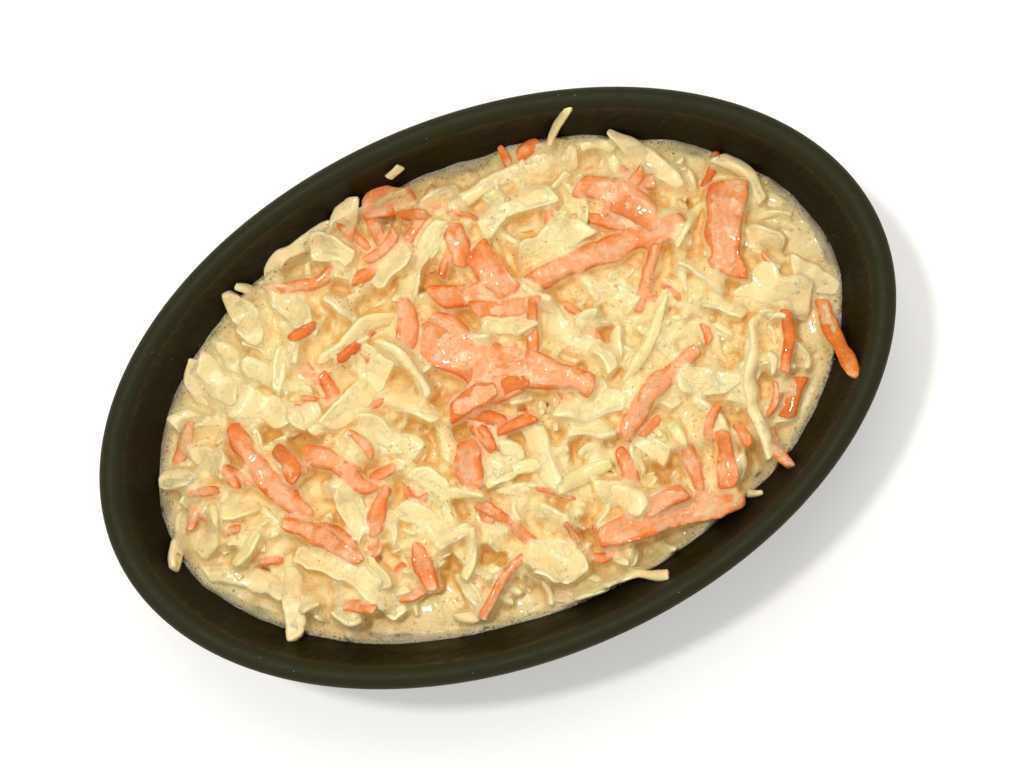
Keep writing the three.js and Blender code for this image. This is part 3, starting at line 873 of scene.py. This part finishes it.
def make_mesh(name, points, face_groups, material, fields):
    """A smooth mesh object from points in millimetres, arrays of faces, and fields of three numbers."""
    mesh = bpy.data.meshes.new(name)
    loops = np.concatenate([group.reshape(-1) for group in face_groups])
    sizes = np.concatenate([np.full(len(group), group.shape[1]) for group in face_groups])
    starts = np.concatenate([[0], np.cumsum(sizes)[:-1]])
    mesh.vertices.add(len(points))
    mesh.vertices.foreach_set("co", (points * MM).astype(np.float32).ravel())
    mesh.loops.add(len(loops))
    mesh.loops.foreach_set("vertex_index", loops.astype(np.int32))
    mesh.polygons.add(len(sizes))
    mesh.polygons.foreach_set("loop_start", starts.astype(np.int32))
    for key, values in fields.items():
        layer = mesh.attributes.new(key, "FLOAT_VECTOR", "POINT")
        layer.data.foreach_set("vector", values.astype(np.float32).ravel())
    mesh.update(calc_edges=True)
    mesh.validate()
    mesh.shade_smooth()
    mesh.materials.append(material)
    made = bpy.data.objects.new(name, mesh)
    bpy.context.scene.collection.objects.link(made)
    return made


def bowl_profile():
    turn = np.linspace(0, math.pi / 2, BOWL_WALL_STEPS + 1)
    shares = 1 - np.cos(turn) ** (2 / WALL_CURVE)
    heights = FLOOR_HEIGHT + shares * (LIP_HEIGHT - FLOOR_HEIGHT)
    inside = [(float(wall_inset(z)), z) for z in heights]
    lip_turn = np.linspace(0, math.pi, BOWL_LIP_STEPS + 1)[1:-1]
    lip = [(LIP_WIDTH / 2 * (1 + math.cos(t)), LIP_HEIGHT + LIP_RISE * math.sin(t)) for t in lip_turn]
    outside = [
        (LIP_TUCK + (FOOT_INSET - LIP_TUCK) * float(wall_curve(up)), up * (LIP_HEIGHT - LIP_TUCK))
        for up in shares[::-1]
    ]
    lip_side = [(0.0, LIP_HEIGHT)]
    foot = [
        (FOOT_INSET + 0.6, 0.0),
        (FOOT_INSET + FOOT_WIDTH, 0.0),
        (FOOT_INSET + FOOT_WIDTH + 0.5, 0.3),
        (FOOT_INSET + FOOT_WIDTH + FOOT_RECESS, FOOT_RECESS),
    ]
    floor = [(FLOOR_INSET + step_in, float(FLOOR_HEIGHT)) for step_in in (18, 10, 4)]
    recess = [(FOOT_INSET + FOOT_WIDTH + step_in, FOOT_RECESS) for step_in in (6, 12, 18)]
    return [*floor, *inside, *lip, *lip_side, *outside, *foot, *recess]


def make_bowl(material):
    profile = bowl_profile()
    turn = np.linspace(0, 2 * math.pi, BOWL_AROUND, endpoint=False)
    rings = []
    for inset, z in profile:
        a, b = semi_axes(inset)
        rings.append(np.stack([a * np.cos(turn), b * np.sin(turn), np.full(BOWL_AROUND, z)], -1))
    points = np.concatenate(rings + [np.array([[0, 0, FLOOR_HEIGHT], [0, 0, FOOT_RECESS]])])
    index = np.arange(len(profile) * BOWL_AROUND).reshape(len(profile), BOWL_AROUND)
    across = np.roll(index, -1, 1)
    quads = np.stack([index[:-1], index[1:], across[1:], across[:-1]], -1).reshape(-1, 4)
    centre = len(profile) * BOWL_AROUND
    top = np.stack([index[0], across[0], np.full(BOWL_AROUND, centre)], -1)
    under = np.stack([across[-1], index[-1], np.full(BOWL_AROUND, centre + 1)], -1)
    inner = np.arange(len(profile)) <= BOWL_WALL_STEPS + 3
    inside = np.concatenate([np.repeat(inner, BOWL_AROUND), [True, False]]).astype(float)
    fields = {"side": np.stack([inside, inside, inside], -1)}
    return make_mesh("bowl_body", points, [quads, np.concatenate([top, under])], material, fields)


def shred_section(shred):
    """The section's outline: places across from -1 to 1, and up from -1 to 1."""
    count = int(np.clip(shred.width / 0.5, 6, 13)) // 2 * 2 + 1
    across = np.sin(np.linspace(-math.pi / 2, math.pi / 2, count))
    power = shred.kind.square
    flat = (1 - np.abs(across) ** power) ** (1 / power)
    slope = 1 - np.abs(across - shred.peak) / (1 + abs(shred.peak))
    crest = flat * (1 - shred.ridge) + 1.25 * slope * flat**0.5 * shred.ridge
    under = -((1 - np.abs(across) ** 9) ** (1 / 9))
    outline = np.concatenate([across, across[-2:0:-1]])
    return outline, np.concatenate([crest, under[-2:0:-1]])


# The rows that round off a shred's ends: the section's share there, and how far on, in thicknesses
TIP_ROWS = [(0.0, -0.30), (0.55, -0.26), (0.88, -0.14)]


def shape_shred(shred):
    """A shred's points, rows by places round the section, and its grain, along its settled line."""
    shares = np.linspace(0, 1, shred.steps)
    halves, rolls = shred.half_widths(shares), shred.rolls(shares)
    path = shred.path
    forward = np.gradient(path, axis=0)
    forward /= np.linalg.norm(forward, axis=1)[:, None]
    side = np.cross(np.array([0, 0, 1.0]), forward)
    side /= np.linalg.norm(side, axis=1)[:, None]
    normal = np.cross(forward, side)
    cos, sin = np.cos(rolls)[:, None], np.sin(rolls)[:, None]
    side, normal = cos * side + sin * normal, cos * normal - sin * side
    rows = [(0, scale, push) for scale, push in TIP_ROWS]
    rows += [(i, 1.0, 0.0) for i in range(shred.steps)]
    rows += [(shred.steps - 1, scale, -push) for scale, push in reversed(TIP_ROWS)]
    across, up = shred_section(shred)
    picked = np.array([row[0] for row in rows])
    scale = np.array([row[1] for row in rows])[:, None]
    push = np.array([row[2] for row in rows])[:, None]
    lengthwise = np.broadcast_to((shares[picked] * shred.length())[:, None], (len(rows), len(across)))
    sides = np.stack([lengthwise, np.sign(across)[None, :] * 9 + lengthwise * 0], -1)
    ragged = 1 + 0.16 * rough_noise(sides, 1.9, shred.seed(3), 2)
    half = (halves[picked][:, None] * scale) * across[None, :] * ragged
    cup = (0.12 if shred.leaf else 0.24) * (shred.chance[2] - 0.4) * half**2
    rise = shred.thick / 2 * scale * up[None, :] + np.clip(cup, -1.2, 1.2)
    points = path[picked][:, None] + side[picked][:, None] * half[..., None]
    points = points + normal[picked][:, None] * rise[..., None]
    points = points + (forward[picked] * push * shred.thick)[:, None]
    near_start = 1 - step(0, 0.3, shares[picked])
    near_end = step(0.7, 1, shares[picked])
    slant = shred.slants[0] * near_start + shred.slants[1] * near_end
    points = points + forward[picked][:, None] * (slant[:, None] * half)[..., None]
    seed = shred.seed(1)
    bumps = shred.kind.rough * rough_noise(points, shred.kind.rough_size, seed, 2)
    bumps = bumps + shred.kind.rib * smooth_noise(np.stack([lengthwise * 0.16, half], -1), 1.0, seed + 5)
    points = points + normal[picked][:, None] * (bumps * scale)[..., None]
    if shred.leaf:
        ruffle = 0.9 * smooth_noise(points[..., :2], 3.0, seed + 3) * np.abs(across[None, :]) ** 1.5
        points = points + normal[picked][:, None] * ruffle[..., None]
    far = 0.22 if shred.kind == CARROT else 0.55 * min(1, shred.width / 4)
    warp = [smooth_noise(points, 3.6, seed + 11 + k) for k in range(3)]
    shred.points = points + far * np.stack(warp, -1) * [1, 1, 0.6]
    shred.edge = np.broadcast_to(np.abs(across)[None, :], half.shape)
    shred.grain = np.stack([lengthwise, half, np.full(half.shape, shred.chance[0])], -1)


def one_tip(rows):
    """A shred's rows as one list, with a single point for each end's row."""
    return np.concatenate([rows[0, :1], rows[1:-1].reshape(-1, rows.shape[-1]), rows[-1, :1]])


# The least that a shred stands out of the dressing, in millimetres, to be made at all
LEAST_SHOWN = 0.03


def join_shreds(name, shreds, heap, level, material):
    """The shreds that show as one mesh, with the grain and tone that the material reads."""
    points, quads, fans, grains, tones, count = [], [], [], [], [], 0
    for shred in shreds:
        rows, round_it = shred.points.shape[:2]
        spots = one_tip(shred.points)
        above = spots[:, 2] - heap.sample(level, spots[:, :2])
        if above.max() < LEAST_SHOWN:
            continue
        index = count + 1 + np.arange((rows - 2) * round_it).reshape(rows - 2, round_it)
        beside = np.roll(index, -1, 1)
        quads.append(np.stack([index[:-1], beside[:-1], beside[1:], index[1:]], -1).reshape(-1, 4))
        first, last = np.full(round_it, count), np.full(round_it, count + len(spots) - 1)
        fans.append(np.stack([first, beside[0], index[0]], -1))
        fans.append(np.stack([index[-1], beside[-1], last], -1))
        points.append(spots)
        grains.append(one_tip(shred.grain))
        edge = one_tip(shred.edge[..., None])[:, 0]
        tones.append(np.stack([np.full(len(spots), shred.vivid), edge, above], -1))
        count += len(spots)
    fields = {"grain": np.concatenate(grains), "tone": np.concatenate(tones)}
    faces = [np.concatenate(quads), np.concatenate(fans)]
    return make_mesh(name, np.concatenate(points), faces, material, fields)


def make_scrap(heap, level, material):
    """The small curl of cabbage that has stuck to the wall above the food."""
    shred = Shred(CABBAGE, SCRAP_START[:2], SCRAP_END[:2], 2.0, 0.0, 0.6, 0.1)
    shred.chance[2:5] = 0.9, 0.5, 0.62
    shred.tilt = SCRAP_TILT
    shares = np.linspace(0, 1, shred.steps)[:, None]
    shred.path = SCRAP_START + (SCRAP_END - SCRAP_START) * shares
    shape_shred(shred)
    return join_shreds("cabbage_scrap_curl", [shred], heap, level, material)


# Bubbles

# Rows of tiny bubbles along the food's edge: distance from it in millimetres, and the chance of one
EDGE_ROWS = [(0.3, 0.9), (0.7, 0.6), (1.2, 0.4), (1.9, 0.2), (2.8, 0.12)]
EDGE_ROW_STEP = 0.5
BUBBLE_HEIGHT = 0.62  # as a share of its radius, and so is how far it is sunk in
BUBBLE_SUNK = 0.12
FINE_BALL = (16, 9)  # points round a bubble, and its rings
COARSE_BALL = (9, 5)
FINE_FROM = 0.3


def ball_shape(around, rings):
    """A ball's points and faces. Its rings run from the top down."""
    polar = np.linspace(0, math.pi, rings + 2)[1:-1]
    turn = np.linspace(0, 2 * math.pi, around, endpoint=False)
    ring = np.stack([
        np.sin(polar)[:, None] * np.cos(turn),
        np.sin(polar)[:, None] * np.sin(turn),
        np.broadcast_to(np.cos(polar)[:, None], (rings, around)),
    ], -1).reshape(-1, 3)
    points = np.concatenate([ring, [[0, 0, 1], [0, 0, -1]]])
    index = np.arange(rings * around).reshape(rings, around)
    beside = np.roll(index, -1, 1)
    quads = np.stack([index[:-1], index[1:], beside[1:], beside[:-1]], -1).reshape(-1, 4)
    top = np.stack([index[0], beside[0], np.full(around, rings * around)], -1)
    under = np.stack([beside[-1], index[-1], np.full(around, rings * around + 1)], -1)
    return points, quads, np.concatenate([top, under])


def bubble_spots():
    """Places, sizes and darkness of the bubbles that are large enough to model."""
    spots = []
    turn = 0.0
    while turn < 2 * math.pi:
        for depth, chance in EDGE_ROWS:
            if random.random() > chance:
                continue
            inset = wall_inset(edge_height(np.array([turn]))[0]) + depth + random.uniform(-0.25, 0.25)
            a, b = semi_axes(inset)
            place = np.array([a * math.cos(turn), b * math.sin(turn)])
            size = random.uniform(0.08, 0.15) if random.random() < 0.88 else random.uniform(0.16, 0.32)
            spots.append((place, size, float(1 - step(1.2, 4.0, depth))))
        turn += EDGE_ROW_STEP / HALF_LENGTH * random.uniform(0.7, 1.3)
    for px, py, count, reach in BUBBLE_GROUPS:
        middle = from_photo(px, py)
        for _ in range(count):
            place = middle + random.normal(size=2) * reach
            spots.append((place, 0.1 + 0.32 * random.random() ** 2.5, 0.0))
    for px, py, size in LARGE_BUBBLES:
        spots.append((from_photo(px, py), size, 0.0))
    return spots


def make_bubbles(heap, level, material):
    points, quads, fans, tones, count = [], [], [], [], 0
    for place, size, dark in bubble_spots():
        turn = math.atan2(place[1] / HALF_WIDTH, place[0] / HALF_LENGTH)
        a, b = semi_axes(wall_inset(edge_height(np.array([turn]))[0]) + size)
        if (place[0] / a) ** 2 + (place[1] / b) ** 2 > 1:
            continue
        z = float(heap.sample(level, place))
        if float(heap.sample(heap.height, place)) > z + (-0.3 if dark > 0.1 else 0.25):
            continue
        shape, faces, caps = ball_shape(*(FINE_BALL if size > FINE_FROM else COARSE_BALL))
        stretch = 1 + 0.12 * random.normal(size=2)
        spots = shape * [size * stretch[0], size * stretch[1], size * BUBBLE_HEIGHT]
        spots = spots + [place[0], place[1], z - size * BUBBLE_SUNK]
        points.append(spots)
        quads.append(faces + count)
        fans.append(caps + count)
        tones.append(shape * [0, 0, 1] + [dark, 0, 0])
        count += len(shape)
    faces = [np.concatenate(quads), np.concatenate(fans)]
    fields = {"tone": np.concatenate(tones)}
    return make_mesh("dressing_bubbles", np.concatenate(points), faces, material, fields)


# Materials

def feed(socket, value):
    """Links a socket to a node's output, or sets its value."""
    if isinstance(value, Value):
        socket.id_data.links.new(value.socket, socket)
    else:
        socket.default_value = value


def add_node(tree, kind, inputs, **settings):
    """A new node with the given settings, its inputs fed by name or number."""
    node = tree.nodes.new("ShaderNode" + kind)
    for name, setting in settings.items():
        setattr(node, name, setting)
    for key, value in inputs.items():
        feed(node.inputs[key], value)
    return node


class Value:
    """A node's output in a material. Sums with it add further nodes."""

    def __init__(self, socket):
        self.socket = socket

    def node(self, kind, inputs, **settings):
        return add_node(self.socket.id_data, kind, inputs, **settings)

    def maths(self, operation, other):
        return Value(self.node("Math", {0: self, 1: other}, operation=operation).outputs[0])

    def __add__(self, other):
        return self.maths("ADD", other)

    def __sub__(self, other):
        return self.maths("SUBTRACT", other)

    def __mul__(self, other):
        return self.maths("MULTIPLY", other)

    def stretched(self, *factors):
        """The place with its three directions multiplied."""
        return Value(self.node("VectorMath", {0: self, 1: factors}, operation="MULTIPLY").outputs[0])

    def parts(self):
        """The three numbers of a place or field."""
        return [Value(socket) for socket in self.node("SeparateXYZ", {"Vector": self}).outputs]

    def ramp(self, low, high, to_low=0.0, to_high=1.0):
        """The value smoothly mapped from one range to another."""
        inputs = {"Value": self, "From Min": low, "From Max": high, "To Min": to_low, "To Max": to_high}
        return Value(self.node("MapRange", inputs, interpolation_type="SMOOTHSTEP").outputs["Result"])

    def between(self, one, other):
        """The colour at this share of the way from one to the other."""
        inputs = {"Factor": self, "A": one, "B": other}
        return Value(self.node("Mix", inputs, data_type="RGBA").outputs["Result"])

    def stops(self, *colours):
        """The value's colour on a ramp through the given places and colours."""
        node = self.node("ValToRGB", {"Fac": self})
        marks = node.color_ramp.elements
        while len(marks) < len(colours):
            marks.new(0.5)
        for mark, (place, colour) in zip(marks, colours):
            mark.position = place
            mark.color = colour
        return Value(node.outputs["Color"])

    def noise(self, scale, detail=2.0, roughness=0.5):
        """Noise at this place, with features of about 1 / scale."""
        inputs = {"Vector": self, "Scale": scale, "Detail": detail, "Roughness": roughness}
        return Value(self.node("TexNoise", inputs).outputs["Fac"])

    def cells(self, scale, dimensions="2D"):
        """Scattered points: the distance to the nearest one, and a random number for it."""
        node = self.node("TexVoronoi", {"Vector": self, "Scale": scale}, voronoi_dimensions=dimensions)
        split = self.node("SeparateColor", {"Color": Value(node.outputs["Color"])})
        return Value(node.outputs["Distance"]), Value(split.outputs["Red"])

    def specks(self, spacing, radius, share, patches):
        """Specks in patches: 1 inside a speck. Most stand for tiny open bubbles; the carrots' pale ones are
        painted glints.
        """
        distance, chance = self.cells(1 / spacing)
        inside = distance.ramp(radius / spacing * 0.7, radius / spacing * 1.2, 1.0, 0.0)
        return inside * chance.maths("GREATER_THAN", 1 - share) * self.noise(patches).ramp(0.5, 0.6)

    def bump(self, distance, strength, under=None):
        """The surface's turn for this relief, on top of another turn."""
        inputs = {"Strength": strength, "Distance": distance, "Height": self}
        if under is not None:
            inputs["Normal"] = under
        return Value(self.node("Bump", inputs).outputs["Normal"])


def place_of(tree):
    """The place on the object, in millimetres."""
    return Value(add_node(tree, "TexCoord", {}).outputs["Object"]).stretched(1000, 1000, 1000)


def field_of(tree, name):
    """A mesh's own field, whole and as its three numbers."""
    whole = Value(add_node(tree, "Attribute", {}, attribute_name=name).outputs["Vector"])
    return [whole, *whole.parts()]


def new_material(name):
    """An empty material and its tree."""
    material = bpy.data.materials.new(name)
    material.use_nodes = True
    material.node_tree.nodes.clear()
    return material, material.node_tree


def finished(material, sockets):
    """The material, with one shader whose sockets are fed by name."""
    shader = add_node(material.node_tree, "BsdfPrincipled", sockets)
    add_node(material.node_tree, "OutputMaterial", {"Surface": Value(shader.outputs["BSDF"])})
    return material


def srgb(red, green, blue):
    """A colour given in 0 to 255 steps, as the shader's linear numbers."""
    shares = [c / 255 for c in (red, green, blue)]
    return (*(c / 12.92 if c <= 10 / 255 else ((c + 0.055) / 1.055) ** 2.4 for c in shares), 1)


CREAM_YELLOW = srgb(248, 223, 164)
CREAM_PEACH = srgb(251, 223, 162)
# Painted shade of the dressing in its hollows
CREAM_PAINTED_SHADE = srgb(226, 166, 58)
# The dressing near the wall: thin over the dark bowl, and darker as painted shade from the wall
CREAM_THIN_AND_SHADED = srgb(222, 207, 152)
FOAM_GREY = srgb(170, 160, 130)
CARROT_PALE = srgb(255, 206, 166)
SALMON = srgb(254, 172, 116)
ORANGE = srgb(246, 136, 26)
ORANGE_DEEP = srgb(228, 110, 0)
LEAF_PALE = srgb(249, 229, 184)
LEAF_YELLOW = srgb(247, 219, 152)
LEAF_GREEN = srgb(212, 222, 122)
# Painted light along the cabbage's thin edges
LEAF_RIM_PAINTED_LIGHT = srgb(253, 232, 184)
# Painted shade of tiny open bubbles
PINHOLE_PAINTED_SHADE = srgb(178, 122, 58)
# Painted light and shade of clear bubbles: lighter centres and darker rings, and the dark wall seen through
# those at the food's edge
BUBBLE_PAINTED_CENTRE = srgb(220, 176, 100)
BUBBLE_PAINTED_CENTRE_DARK = srgb(134, 118, 82)
BUBBLE_PAINTED_RING = srgb(184, 132, 62)
BUBBLE_PAINTED_RING_DARK = srgb(190, 182, 156)
# The bowl's lip painted as lit, and the rest painted in shade
BOWL_LIP_PAINTED_LIT = srgb(43, 43, 24)
BOWL_WALL_PAINTED_SHADE = srgb(23, 17, 0)
BOWL_CLOUD = srgb(40, 36, 24)
BOWL_SPECK = srgb(104, 100, 84)
BOWL_DUST = srgb(170, 168, 156)
FLOOR_PALE = srgb(243, 243, 242)
FLOOR_PALER = srgb(247, 247, 246)

WET_IOR = 1.42


def dressing_material():
    material, tree = new_material("dressing")
    place = place_of(tree)
    _, carrot, hollow_shade, edge = field_of(tree, "tint")
    colour = place.noise(0.11, 3.0).ramp(0.35, 0.65).between(CREAM_YELLOW, CREAM_PEACH)
    # Painted shade: the dressing is painted a darker amber in its hollows and gaps.
    colour = (hollow_shade * 0.8).between(colour, CREAM_PAINTED_SHADE)
    shade = carrot + place.noise(0.7, 4.0, 0.6).ramp(0.25, 0.75, -0.16, 0.16)
    stain = shade.stops((0.3, CREAM_PEACH), (0.55, CARROT_PALE), (0.78, SALMON))
    colour = carrot.ramp(0.12, 0.6).between(colour, stain)
    # Near the wall the cream turns greyer and darker: partly thin dressing over the dark bowl, partly
    # painted shade from the wall.
    colour = edge.ramp(0.0, 11.0, 0.75, 0.0).between(colour, CREAM_THIN_AND_SHADED)
    foam = edge.ramp(0.1, 1.9, 1.0, 0.0) * place.noise(0.05).ramp(0.4, 0.6, 0.5, 0.95)
    colour = foam.between(colour, FOAM_GREY)
    # Pinholes are painted as darker specks: painted shade of tiny open bubbles.
    fine = place.specks(0.62, 0.11, 0.4, 0.16)
    coarse = place.specks(1.5, 0.2, 0.3, 0.1)
    colour = (fine.maths("MAXIMUM", coarse) * 0.75).between(colour, PINHOLE_PAINTED_SHADE)
    ripples = place.noise(0.8, 4.0, 0.6).bump(0.0005, 0.9)
    return finished(material, {
        "Base Color": colour,
        "Roughness": place.noise(0.5, 3.0).ramp(0.3, 0.7, 0.2, 0.4),
        "Normal": place.noise(2.6, 3.0).bump(0.00016, 0.8, ripples),
        "Subsurface Weight": 0.7,
        "Subsurface Radius": (1.0, 0.85, 0.6),
        "Subsurface Scale": 0.001,
        "Coat Weight": 0.6,
        "Coat Roughness": 0.06,
        "IOR": WET_IOR,
    })


def cabbage_material():
    material, tree = new_material("cabbage")
    place = place_of(tree)
    grain = field_of(tree, "grain")[0]
    _, green, edge, above = field_of(tree, "tone")
    streaks = grain.stretched(0.16, 1.1, 90).noise(1.0, 3.0).ramp(0.3, 0.7)
    colour = streaks.between(LEAF_PALE, LEAF_YELLOW)
    wash = grain.stretched(0.09, 0.3, 50).noise(1.0).ramp(0.3, 0.7, 0.35, 1.0)
    colour = (green * wash).between(colour, LEAF_GREEN)
    film = (above - place.noise(0.45, 3.0) * 1.1).ramp(-0.35, 0.55, 1.0, 0.0)
    colour = (film * 0.85).between(colour, CREAM_YELLOW)
    # Painted shade: the lower sides of the shreds are painted warmer and darker.
    colour = above.ramp(-0.3, 0.9, 0.6, 0.0).between(colour, CREAM_PEACH)
    # Painted light: the thin edges of the shreds are painted lighter, for light through them.
    colour = edge.ramp(0.7, 1.0, 0.0, 0.4).between(colour, LEAF_RIM_PAINTED_LIGHT)
    # Painted shade of tiny open bubbles, as darker specks.
    colour = (place.specks(0.8, 0.12, 0.25, 0.13) * 0.6).between(colour, PINHOLE_PAINTED_SHADE)
    ribs = grain.stretched(0.12, 1.5, 90).noise(1.0).bump(0.0003, 0.3)
    return finished(material, {
        "Base Color": colour,
        "Roughness": place.noise(0.7, 3.0).ramp(0.3, 0.7, 0.18, 0.38),
        "Normal": place.noise(1.1, 4.0, 0.6).bump(0.0004, 0.7, ribs),
        "Subsurface Weight": 0.6,
        "Subsurface Radius": (1.0, 0.8, 0.4),
        "Subsurface Scale": 0.0011,
        "Coat Weight": 0.7,
        "Coat Roughness": 0.07,
        "IOR": WET_IOR,
    })


def carrot_material():
    material, tree = new_material("carrot")
    place = place_of(tree)
    grain = field_of(tree, "grain")[0]
    _, vivid, edge, above = field_of(tree, "tone")
    streaks = grain.stretched(0.22, 1.3, 90).noise(1.0, 3.0)
    coat = place.noise(0.22, 3.0, 0.55)
    orange_side = place.noise(0.16).ramp(0.4, 0.58, 0.06, 0.36)
    ragged = place.noise(0.8, 3.0) * 1.4 - 0.7
    bare_edge = (edge + ragged).ramp(0.35, 1.05) * orange_side
    cover = coat * 1.5 - 0.32 + streaks * 0.34 - (vivid * 0.26 + bare_edge)
    colour = cover.stops((0.26, ORANGE_DEEP), (0.48, ORANGE), (0.63, SALMON), (0.79, CARROT_PALE))
    film = (above - coat * 0.7).ramp(-0.25, 0.35, 1.0, 0.0)
    colour = (film * (vivid * -0.35 + 0.42)).between(colour, SALMON)
    # Painted highlights: pale specks on the carrots as small glints.
    colour = (place.specks(0.55, 0.1, 0.45, 0.2) * 0.5).between(colour, CREAM_YELLOW)
    colour = (place.specks(0.9, 0.12, 0.3, 0.15) * 0.7).between(colour, ORANGE_DEEP)
    fibres = streaks.bump(0.0004, 0.5)
    return finished(material, {
        "Base Color": colour,
        "Roughness": place.noise(1.2, 3.0).ramp(0.3, 0.7, 0.18, 0.42),
        "Normal": place.noise(1.7, 4.0, 0.65).bump(0.0005, 1.0, fibres),
        "Subsurface Weight": 0.5,
        "Subsurface Radius": (1.0, 0.6, 0.35),
        "Subsurface Scale": 0.0007,
        "Coat Weight": 0.4,
        "Coat Roughness": 0.07,
        "IOR": WET_IOR,
    })


def bubble_material():
    material, tree = new_material("bubbles")
    _, dark, _, up = field_of(tree, "tone")
    # Painted light and shade of a clear bubble: in the cream a darker ring round a lighter centre, and at
    # the food's edge a dark centre painted for the wall seen through it, with a lighter rim.
    clear = dark.between(BUBBLE_PAINTED_CENTRE, BUBBLE_PAINTED_CENTRE_DARK)
    rim = dark.between(BUBBLE_PAINTED_RING, BUBBLE_PAINTED_RING_DARK)
    return finished(material, {
        "Base Color": up.ramp(0.15, 0.55, 1.0, 0.0).between(clear, rim),
        "Roughness": 0.12,
        "Coat Weight": 0.8,
        "Coat Roughness": 0.03,
        "IOR": 1.35,
    })


def bowl_material():
    material, tree = new_material("bowl_plastic")
    place = place_of(tree)
    inside = field_of(tree, "side")[1]
    height = place.parts()[2]
    # Painted shade: below the lip the bowl is painted darker and browner, for the shade and the food's warm
    # reflection inside it; the lip is painted as lit.
    colour = height.ramp(LIP_HEIGHT - 4, LIP_HEIGHT + 1.5).between(BOWL_WALL_PAINTED_SHADE, BOWL_LIP_PAINTED_LIT)
    colour = place.noise(0.06, 4.0).ramp(0.35, 0.65, 0.0, 0.2).between(colour, BOWL_CLOUD)
    grain = place.noise(5.0, 3.0, 0.7)
    colour = grain.ramp(0.62, 0.78, 0.0, 0.35).between(colour, BOWL_SPECK)
    distance, chance = place.cells(0.4, "3D")
    dust = distance.ramp(0.03, 0.06, 1.0, 0.0) * chance.maths("GREATER_THAN", 0.6)
    scratches = place.stretched(0.05, 1.4, 0.4).noise(1.0, 4.0, 0.7).ramp(0.4, 0.6, 0.40, 0.52)
    smears = place.stretched(0.05, 0.05, 0.12).noise(1.0).ramp(0.48, 0.54) * inside
    near_food = height.ramp(LEVEL + 2.5, LEVEL + 6.5, 1.0, 0.0)
    return finished(material, {
        "Base Color": (dust * 0.5).between(colour, BOWL_DUST),
        "Roughness": scratches + grain * 0.1 - smears * near_food * 0.26,
        "Normal": grain.bump(0.00005, 0.5),
        "IOR": 1.38,
        "Specular IOR Level": 0.14,
    })


def floor_material():
    material, tree = new_material("pale_floor")
    return finished(material, {
        "Base Color": place_of(tree).noise(0.01, 3.0).between(FLOOR_PALE, FLOOR_PALER),
        "Roughness": 0.8,
        "Emission Color": (1, 1, 1, 1),
        "Emission Strength": 0.16,
    })


# Stage

# Lengths from here on are in metres. Lights: name, place, size, power and colour.
LIGHTS = [
    ("key", (0.12, 0.32, 0.80), 0.4, 1.85, (1.0, 0.97, 0.92)),
    ("lamp", (-0.14, 0.15, 0.85), 0.06, 2.6, (1.0, 0.98, 0.95)),
    ("fill", (-0.45, -0.35, 0.6), 0.6, 0.5, (1.0, 0.98, 0.96)),
]
LIT_POINT = Vector((0, 0, 0.03))
WORLD_COLOUR = (1.0, 0.975, 0.93, 1)
WORLD_STRENGTH = 0.6
FLOOR_REACH = 3.0
FLOOR_DROP = 0.0002
SENSOR_WIDTH = 36


def make_floor():
    mesh = bpy.data.meshes.new("floor")
    corners = [(x * FLOOR_REACH, y * FLOOR_REACH, 0) for x, y in ((-1, -1), (1, -1), (1, 1), (-1, 1))]
    mesh.from_pydata(corners, [], [(0, 1, 2, 3)])
    mesh.materials.append(floor_material())
    floor = bpy.data.objects.new("floor", mesh)
    floor.location = (0, 0, -FLOOR_DROP)
    bpy.context.scene.collection.objects.link(floor)


def make_lights():
    world = bpy.data.worlds.new("world")
    bpy.context.scene.world = world
    world.use_nodes = True
    background = world.node_tree.nodes["Background"]
    background.inputs["Color"].default_value = WORLD_COLOUR
    background.inputs["Strength"].default_value = WORLD_STRENGTH
    for name, place, size, power, colour in LIGHTS:
        light = bpy.data.lights.new(name, "AREA")
        light.shape = "DISK"
        light.size = size
        light.energy = power
        light.color = colour
        lamp = bpy.data.objects.new(name, light)
        lamp.location = place
        lamp.rotation_euler = (LIT_POINT - Vector(place)).to_track_quat("-Z", "Y").to_euler()
        bpy.context.scene.collection.objects.link(lamp)


def make_camera():
    data = bpy.data.cameras.new("camera")
    data.lens = CAMERA_LENS
    data.sensor_width = SENSOR_WIDTH
    camera = bpy.data.objects.new("camera", data)
    look = (CAMERA_TARGET - CAMERA_PLACE).normalized()
    upright = Vector((math.sin(CAMERA_ROLL), math.cos(CAMERA_ROLL), 0))
    right = look.cross(upright).normalized()
    up = right.cross(look)
    turn = Matrix((right, up, -look)).transposed()
    camera.matrix_world = Matrix.Translation(CAMERA_PLACE * MM) @ turn.to_4x4()
    bpy.context.scene.collection.objects.link(camera)
    bpy.context.scene.camera = camera


# Making everything

heap = Heap()
shreds = all_shreds()
for shred in shreds:
    heap.lay(shred)
level = settle(heap, shreds, dress(heap))

cream = dressing_material()
leaf = cabbage_material()
root_flesh = carrot_material()

bowl = make_bowl(bowl_material())
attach(bowl, "root")
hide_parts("bowl")

points, faces = dressing_mesh(heap, level)
fields = {"tint": dressing_tint(heap, level, points[:, :2])}
dressing = make_mesh("dressing", points, faces, cream, fields)
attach(dressing, "root")
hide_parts("coleslaw")

cabbages = join_shreds("cabbage_shreds", [s for s in shreds if s.kind == CABBAGE], heap, level, leaf)
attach(cabbages, "root")
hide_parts("coleslaw")

carrots = join_shreds("carrot_shreds", [s for s in shreds if s.kind == CARROT], heap, level, root_flesh)
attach(carrots, "root")
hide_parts("coleslaw")

scrap = make_scrap(heap, level, leaf)
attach(scrap, "root")
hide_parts("cabbage_scrap")

bubbles = make_bubbles(heap, level, bubble_material())
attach(bubbles, "root")

make_floor()
make_lights()
make_camera()
bpy.context.scene.view_settings.view_transform = "Standard"
